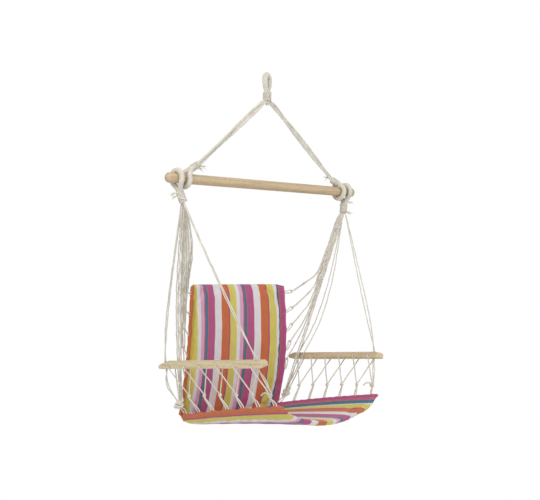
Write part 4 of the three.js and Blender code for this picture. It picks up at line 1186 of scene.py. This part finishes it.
class Panel:
    """The seat (side 1 of the seam) or the back (side -1): its middle sheet and edge, the run and rise of its
    flange, its thickness, rounding and length, the shares along its edge that cords hold, the shares of its
    thickness on its two faces, and how far its end and its two edges are drawn in."""

    def __init__(self, **sizes):
        vars(self).update(sizes)

    def from_seam(self, point):
        return self.side * (SEAM_Y + SEAM_Z - point[..., 1] - point[..., 2])

    def half(self, u, s):
        """Half of the thickness. Each side takes its own share of it; side 1 is the seat's underside and the
        front of the back."""
        half = quilt_half(u, self.edge(s)[0] - self.run, self.thickness(s), math.hypot(self.run, self.rise))
        foot = rounded(np.maximum(self.from_seam(self.middle(u, s)), 0) + FOOT_START, FOOT_ROUND)
        end = rounded(np.maximum((1 - s) * self.length, 0), self.end_round)
        ended = np.maximum(CREASE_THICKNESS / 2, half * end * foot)
        return np.where(np.abs(u) < CREASE_SHARE, ended, half)

    def skin(self, u, s, face):
        small = 0.002
        across = self.middle(u + small, s) - self.middle(u - small, s)
        along = self.middle(u, s + small) - self.middle(u, s - small)
        normal = np.cross(across, along)
        normal /= np.linalg.norm(normal, axis=-1)[..., None]
        beyond = np.clip((np.abs(u) - CREASE_SHARE) / (1 - CREASE_SHARE), 0, 1)
        distance = s * self.length
        gaps = np.zeros_like(s)
        marks = [-0.04, *self.anchors, 1.04]
        for low, high in zip(marks[:-1], marks[1:]):
            arch = np.maximum(np.sin(np.pi * (s - low) / (high - low)), 0) ** 0.8 * min(1, (high - low) * 8)
            gaps = np.where((s >= low) & (s < high), arch, gaps)
        outward = across / np.linalg.norm(across, axis=-1)[..., None] * np.sign(u)[..., None]
        sag = np.where(u > 0, self.sags[1], self.sags[0])
        scallop = -outward * (sag * gaps * beyond ** 1.3)[..., None]
        wave = ripple(distance, 34.0, self.seed + 1) * 1.6 * beyond ** 1.2
        crease = np.exp(-((np.abs(u) - CREASE_SHARE) / 0.035) ** 2)
        pucker = ripple(distance + 7 * face, 17.0, self.seed + 2) * 0.7 * crease * (beyond <= 0)
        soft = (ripple(distance + 60 * u, 90.0, self.seed + 3 + face) * 0.8 * (1 - crease)
                * (np.abs(u) < CREASE_SHARE))
        share = self.outward if face > 0 else self.inward
        half = self.half(u, s) * np.where(np.abs(u) < CREASE_SHARE, share, 1.0)
        corner = beyond * np.clip((s - 0.93) / 0.07, 0, 1) ** 2 * self.corner
        scallop = scallop - along / np.linalg.norm(along, axis=-1)[..., None] * corner[..., None]
        lift = face * half + wave + face * (pucker + soft) * np.minimum(half / 6, 1)
        return self.middle(u, s) + normal * lift[..., None] + scallop


def seam_share(panel, columns, face):
    """Where each column of a skin meets the seam between seat and back."""
    low = np.full(len(columns), -0.3)
    high = np.full(len(columns), 0.4)
    for _ in range(30):
        middle = (low + high) / 2
        beyond = panel.from_seam(panel.skin(columns, middle, face)) > 0.3
        high = np.where(beyond, middle, high)
        low = np.where(beyond, low, middle)
    return (low + high) / 2


def quilt(name, panel):
    """One closed skin, upper and under, with the cloth's own map."""
    inside = np.concatenate([np.linspace(0, 0.62, 20), np.linspace(0.62, CREASE_SHARE, 13)[1:]])
    outside = CREASE_SHARE + (1 - CREASE_SHARE) * np.array(
        [0.06, 0.2, 0.36, 0.5, 0.6, 0.66, 0.74, 0.82, 0.9, 0.96, 1])
    half_columns = np.concatenate([inside, outside])
    columns = np.concatenate([-half_columns[:0:-1], half_columns])
    ends = 1 - panel.end_round / panel.length * np.array([1, 0.72, 0.48, 0.28, 0.13, 0.04, 0.0])
    foot = np.array([0, 0.004, 0.012, 0.024, 0.04])
    rows = np.concatenate([foot, np.linspace(0.06, ends[0] - 0.012, 56), ends])
    count, wide = len(rows), len(columns)
    points = []
    for face in (1, -1):
        start = seam_share(panel, columns, face)
        shares = start[None, :] + (1 - start[None, :]) * rows[:, None]
        points.append(panel.skin(np.broadcast_to(columns, shares.shape), shares, face))
    skins = np.array(points)
    centre = wide // 2
    crease = int(np.argmin(np.abs(columns - CREASE_SHARE)))
    middle_row = skins[0][count // 2]
    arc = distances(middle_row)
    arc -= arc[centre]
    flange = np.zeros(wide)
    pad = np.tile(arc, (count, 1))
    for side, (reach, first, density) in panel.cloth.items():
        own = np.sign(columns) == side
        edge = abs(arc[crease if side > 0 else wide - 1 - crease])
        flange[own] = side * (first + (np.abs(arc[own]) - edge) * density)
        pad[:, own] *= reach / edge
    if panel.side < 0:
        drawn_in = np.linalg.norm(skins[0] - skins[0][:, centre:centre + 1], axis=2)
        drawn_in /= np.maximum(drawn_in[count // 2], 1e-6)
        pad = np.where(columns < 0, pad * drawn_in, pad)
    along = distances(skins[0][:, centre])
    index = np.arange(2 * count * wide).reshape(2, count, wide)
    faces, face_map = [], []

    def cloth(i, j, beside):
        """The cloth on a flange is its own, so its stripes don't run on across the crease."""
        return flange[j] if abs(columns[j] + columns[beside]) / 2 > CREASE_SHARE else pad[i, j]

    for i in range(count - 1):
        for j in range(wide - 1):
            corners = [(cloth(row, column, other), along[row]) for row, column, other in (
                (i, j, j + 1), (i, j + 1, j), (i + 1, j + 1, j), (i + 1, j, j + 1))]
            faces.append((index[0, i, j], index[0, i, j + 1], index[0, i + 1, j + 1], index[0, i + 1, j]))
            face_map.append(corners)
            faces.append((index[1, i, j], index[1, i + 1, j], index[1, i + 1, j + 1], index[1, i, j + 1]))
            face_map.append((corners[0], corners[3], corners[2], corners[1]))
    for i in range(count - 1):
        for j, order in ((0, 1), (wide - 1, -1)):
            strip = [index[0, i, j], index[0, i + 1, j], index[1, i + 1, j], index[1, i, j]]
            corners = [(flange[j], along[i]), (flange[j], along[i + 1]), (flange[j] + 1, along[i + 1]),
                       (flange[j] + 1, along[i])]
            faces.append(tuple(strip[::order]))
            face_map.append(tuple(corners[::order]))
    for j in range(wide - 1):
        for i, order in ((0, -1), (count - 1, 1)):
            left, right = cloth(i, j, j + 1), cloth(i, j + 1, j)
            strip = [index[0, i, j], index[0, i, j + 1], index[1, i, j + 1], index[1, i, j]]
            corners = [(left, along[i]), (right, along[i]), (right, along[i] + 2), (left, along[i] + 2)]
            faces.append(tuple(strip[::order]))
            face_map.append(tuple(corners[::order]))
    mesh = bpy.data.meshes.new(name)
    mesh.from_pydata((skins.reshape(-1, 3) * METRE).tolist(), [], [tuple(int(i) for i in face) for face in faces])
    layer = mesh.uv_layers.new(name="UVMap")
    layer.data.foreach_set("uv", np.array([uv for face in face_map for uv in face], np.float32).ravel() * METRE)
    mesh.materials.append(canvas)
    mesh.polygons.foreach_set("use_smooth", [True] * len(mesh.polygons))
    return show(name, mesh), skins, columns, rows


back_panel = Panel(
    middle=back_middle, side=-1, edge=back_edge, run=BACK_FLANGE_RUN, rise=BACK_FLANGE_SET,
    thickness=lambda t: BACK_THICKNESS - SWELL, end_round=BACK_TOP_ROUND, length=SEAT_REAR_DROP - BACK_TOP_DROP,
    anchors=[share_at(back_middle, 2, BAR_Z - FIRST_LINK_DROP - number * LINK_PITCH)
             for number in reversed(range(BACK_LINKS))],
    seed=400, outward=1.0, inward=1.0, corner=7.0, sags=(2.5, 2.5), cloth=BACK_CLOTH)
seat_panel = Panel(
    middle=seat_middle, side=1, edge=seat_edge, run=SEAT_FLANGE_RUN, rise=SEAT_FLANGE_DROPS[0],
    thickness=lambda s: lerp(SEAT_THICKNESSES[0], SEAT_THICKNESSES[1], s) - SWELL, end_round=SEAT_FRONT_ROUND,
    length=SEAT_REAR_Y - SEAT_FRONT_Y,
    anchors=[REAR_TIE_SHARE] + [net_anchor_share(number) for number in range(NET_DROPS)],
    seed=500, outward=0.72, inward=0.16, corner=0.0, sags=(11.0, 1.0), cloth=SEAT_CLOTH)
SEAT_MOVES = (4.0, 2.0)
BACK_MOVES = (6.0, 6.0)


def settle(piece, columns, rows, most):
    """Lets the filling push the cloth out between its seams, which stay where they are, by so much at most on
    each face. A last subdivision makes the cloth smooth."""
    start = np.empty(len(piece.data.vertices) * 3)
    piece.data.vertices.foreach_get("co", start)
    start = start.reshape(-1, 3)
    free = np.zeros((2, rows, len(columns)), bool)
    free[:, 4:-5, np.abs(columns) < CREASE_SHARE - 0.012] = True
    seams = piece.vertex_groups.new(name="seams")
    seams.add([int(i) for i in np.flatnonzero(~free.ravel())], 1.0, "REPLACE")
    filling = piece.modifiers.new("filling", "CLOTH")
    settings = filling.settings
    settings.quality = CLOTH_QUALITY
    settings.use_pressure = True
    settings.uniform_pressure_force = CLOTH_PRESSURE
    settings.vertex_group_mass = "seams"
    settings.shrink_min = CLOTH_SHRINK
    settings.effector_weights.gravity = 0.0
    filling.point_cache.frame_start = 1
    filling.point_cache.frame_end = SETTLE_FRAMES
    for frame_number in range(1, SETTLE_FRAMES + 1):
        bpy.context.scene.frame_set(frame_number)
    seen = bpy.context.evaluated_depsgraph_get()
    settled = np.empty_like(start).ravel()
    piece.evaluated_get(seen).data.vertices.foreach_get("co", settled)
    move = settled.reshape(-1, 3) - start
    length = np.linalg.norm(move, axis=1)[:, None]
    limit = np.repeat(np.array(most) * METRE, rows * len(columns))[:, None]
    move *= np.minimum(1, limit / np.maximum(length, 1e-9))
    piece.modifiers.remove(filling)
    piece.vertex_groups.remove(seams)
    piece.data.vertices.foreach_set("co", (start + move).ravel())
    finer = piece.modifiers.new("finer", "SUBSURF")
    finer.levels = finer.render_levels = 1
    seen = bpy.context.evaluated_depsgraph_get()
    made = bpy.data.meshes.new_from_object(piece.evaluated_get(seen), depsgraph=seen)
    piece.modifiers.remove(finer)
    piece.data = made


def hem_lines(skins, columns):
    """Stitch lines beside each rope casing, and two rows across each flange's end hem."""
    lines = []
    casing = CREASE_SHARE + (1 - CREASE_SHARE) * 0.62
    for skin in skins:
        for side in (1, -1):
            column = int(np.argmin(np.abs(columns - side * casing)))
            lines.append(skin[3:, column])
            across = np.abs(columns) > CREASE_SHARE + 0.01
            across &= np.sign(columns) == side
            for row in (-8, -6):
                lines.append(skin[row][across])
    return lines


def seat_and_back():
    seat, seat_skins, columns, rows = quilt("seat_quilt", seat_panel)
    back, back_skins, _, _ = quilt("back_quilt", back_panel)
    settle(seat, columns, len(rows), SEAT_MOVES)
    settle(back, columns, len(rows), BACK_MOVES)
    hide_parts("seat_cover", "seat_filling")
    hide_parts("back_cover", "back_filling")
    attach(seat, "sling")
    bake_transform(back)
    casing = CREASE_SHARE + (1 - CREASE_SHARE) * 0.82
    for side, sign in SIDES:
        seat_edge_cord(side, seat_skins, int(np.argmin(np.abs(columns - sign * casing))))
    sewn = stitches("seat_stitches", hem_lines(seat_skins, columns))
    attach(sewn, "sling")
    sewn = stitches("back_stitches", hem_lines(back_skins, columns))
    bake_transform(sewn)


hanging_eye()
eye_winding()
crown()
bridle()
spreader_bar()
for side_name, side_sign in SIDES:
    bar_eye(side_name, "bridle", side_sign * BRIDLE_EYE_X, 1, bridle_neck_end(side_sign), "bridle", 15)
    bar_eye(side_name, "side", side_sign * SIDE_EYE_X, -1, side_neck_end(side_sign), "sling", 13)
    for link in range(BACK_LINKS):
        back_cord(side_name, side_sign, link)
    back_edge_cord(side_name, side_sign)
    rear_knot(side_name, side_sign)
    for corner in (0, 1):
        corner_cord(side_name, side_sign, corner)
    arm_cord(side_name, side_sign, "front", FRONT_HOLE_ALONG, 0, 0,
             knot_spot(knot_place(side_sign, NET_DROPS - 1), LAST_KNOT, 0.8, -0.6))
    arm_cord(side_name, side_sign, "rear", REAR_HOLE_ALONG, 3, 2,
             knot_spot(rear_knot_centre(side_sign), REAR_KNOT, side_sign * 0.6, 0.8))
    netting(side_name, side_sign)
    net_tail(side_name, side_sign)
    armrest(side_name, side_sign)
seat_and_back()

# Floor, backdrop and light
FLOOR_Z = -1620.0
FLOOR_HALF = 9000.0
FLOOR_THICKNESS = 20.0
# Each lamp's place and size in metres, and its power
LAMPS = (("key", (-2.6, -1.4, 1.4), 62.0, 2.2), ("fill", (1.2, -3.0, 0.4), 26.0, 2.6))
LAMP_AIM = Vector((0, 0, -0.7))


def add_stage():
    material = bpy.data.materials.new("pale_floor")
    material.use_nodes = True
    tree = material.node_tree
    paint = tree.nodes["Principled BSDF"]
    paint.inputs["Base Color"].default_value = linear("#F2F2F2")
    paint.inputs["Roughness"].default_value = 0.95
    glow = add_node(tree, "ShaderNodeEmission", inputs={"Color": (1, 1, 1, 1), "Strength": 1.0})
    position = add_node(tree, "ShaderNodeTexCoord")
    away = add_node(tree, "ShaderNodeVectorMath", {"operation": "DISTANCE"}, {1: (0, 0, FLOOR_Z * METRE)},
                    [(0, position, "Object")])
    fade = add_node(tree, "ShaderNodeMapRange",
                    inputs={"From Min": 0.5, "From Max": 1.4, "To Min": 0.72, "To Max": 1.0},
                    links=[("Value", away, "Value")])
    weight = sums(tree, "MULTIPLY", (seen_rays(tree), "Value"), (fade, "Result"))
    mixed = add_node(tree, "ShaderNodeMixShader",
                     links=[(0, weight, "Value"), (1, paint, "BSDF"), (2, glow, "Emission")])
    tree.links.new(mixed.outputs["Shader"], tree.nodes["Material Output"].inputs["Surface"])
    corners = [(x * FLOOR_HALF, y * FLOOR_HALF) for x, y in ((-1, -1), (1, -1), (1, 1), (-1, 1))]
    rings = np.array([[(x, y, z) for x, y in corners] for z in (FLOOR_Z - FLOOR_THICKNESS, FLOOR_Z)])
    surface("floor", rings, material, smooth=False)

    world = bpy.data.worlds.new("studio")
    bpy.context.scene.world = world
    world.use_nodes = True
    tree = world.node_tree
    soft = tree.nodes["Background"]
    soft.inputs["Color"].default_value = (1, 1, 1, 1)
    soft.inputs["Strength"].default_value = 0.62
    white = add_node(tree, "ShaderNodeBackground", inputs={"Color": (1, 1, 1, 1), "Strength": 1.0})
    mixed = add_node(tree, "ShaderNodeMixShader",
                     links=[(0, seen_rays(tree), "Value"), (1, soft, "Background"), (2, white, "Background")])
    tree.links.new(mixed.outputs["Shader"], tree.nodes["World Output"].inputs["Surface"])

    for name, where, power, size in LAMPS:
        light = bpy.data.lights.new(name, "AREA")
        light.energy = power
        light.size = size
        lamp = bpy.data.objects.new(name, light)
        bpy.context.scene.collection.objects.link(lamp)
        lamp.location = where
        lamp.rotation_euler = (Vector(where) - LAMP_AIM).to_track_quat("Z", "Y").to_euler()


add_stage()
bpy.context.scene.view_settings.view_transform = "Standard"
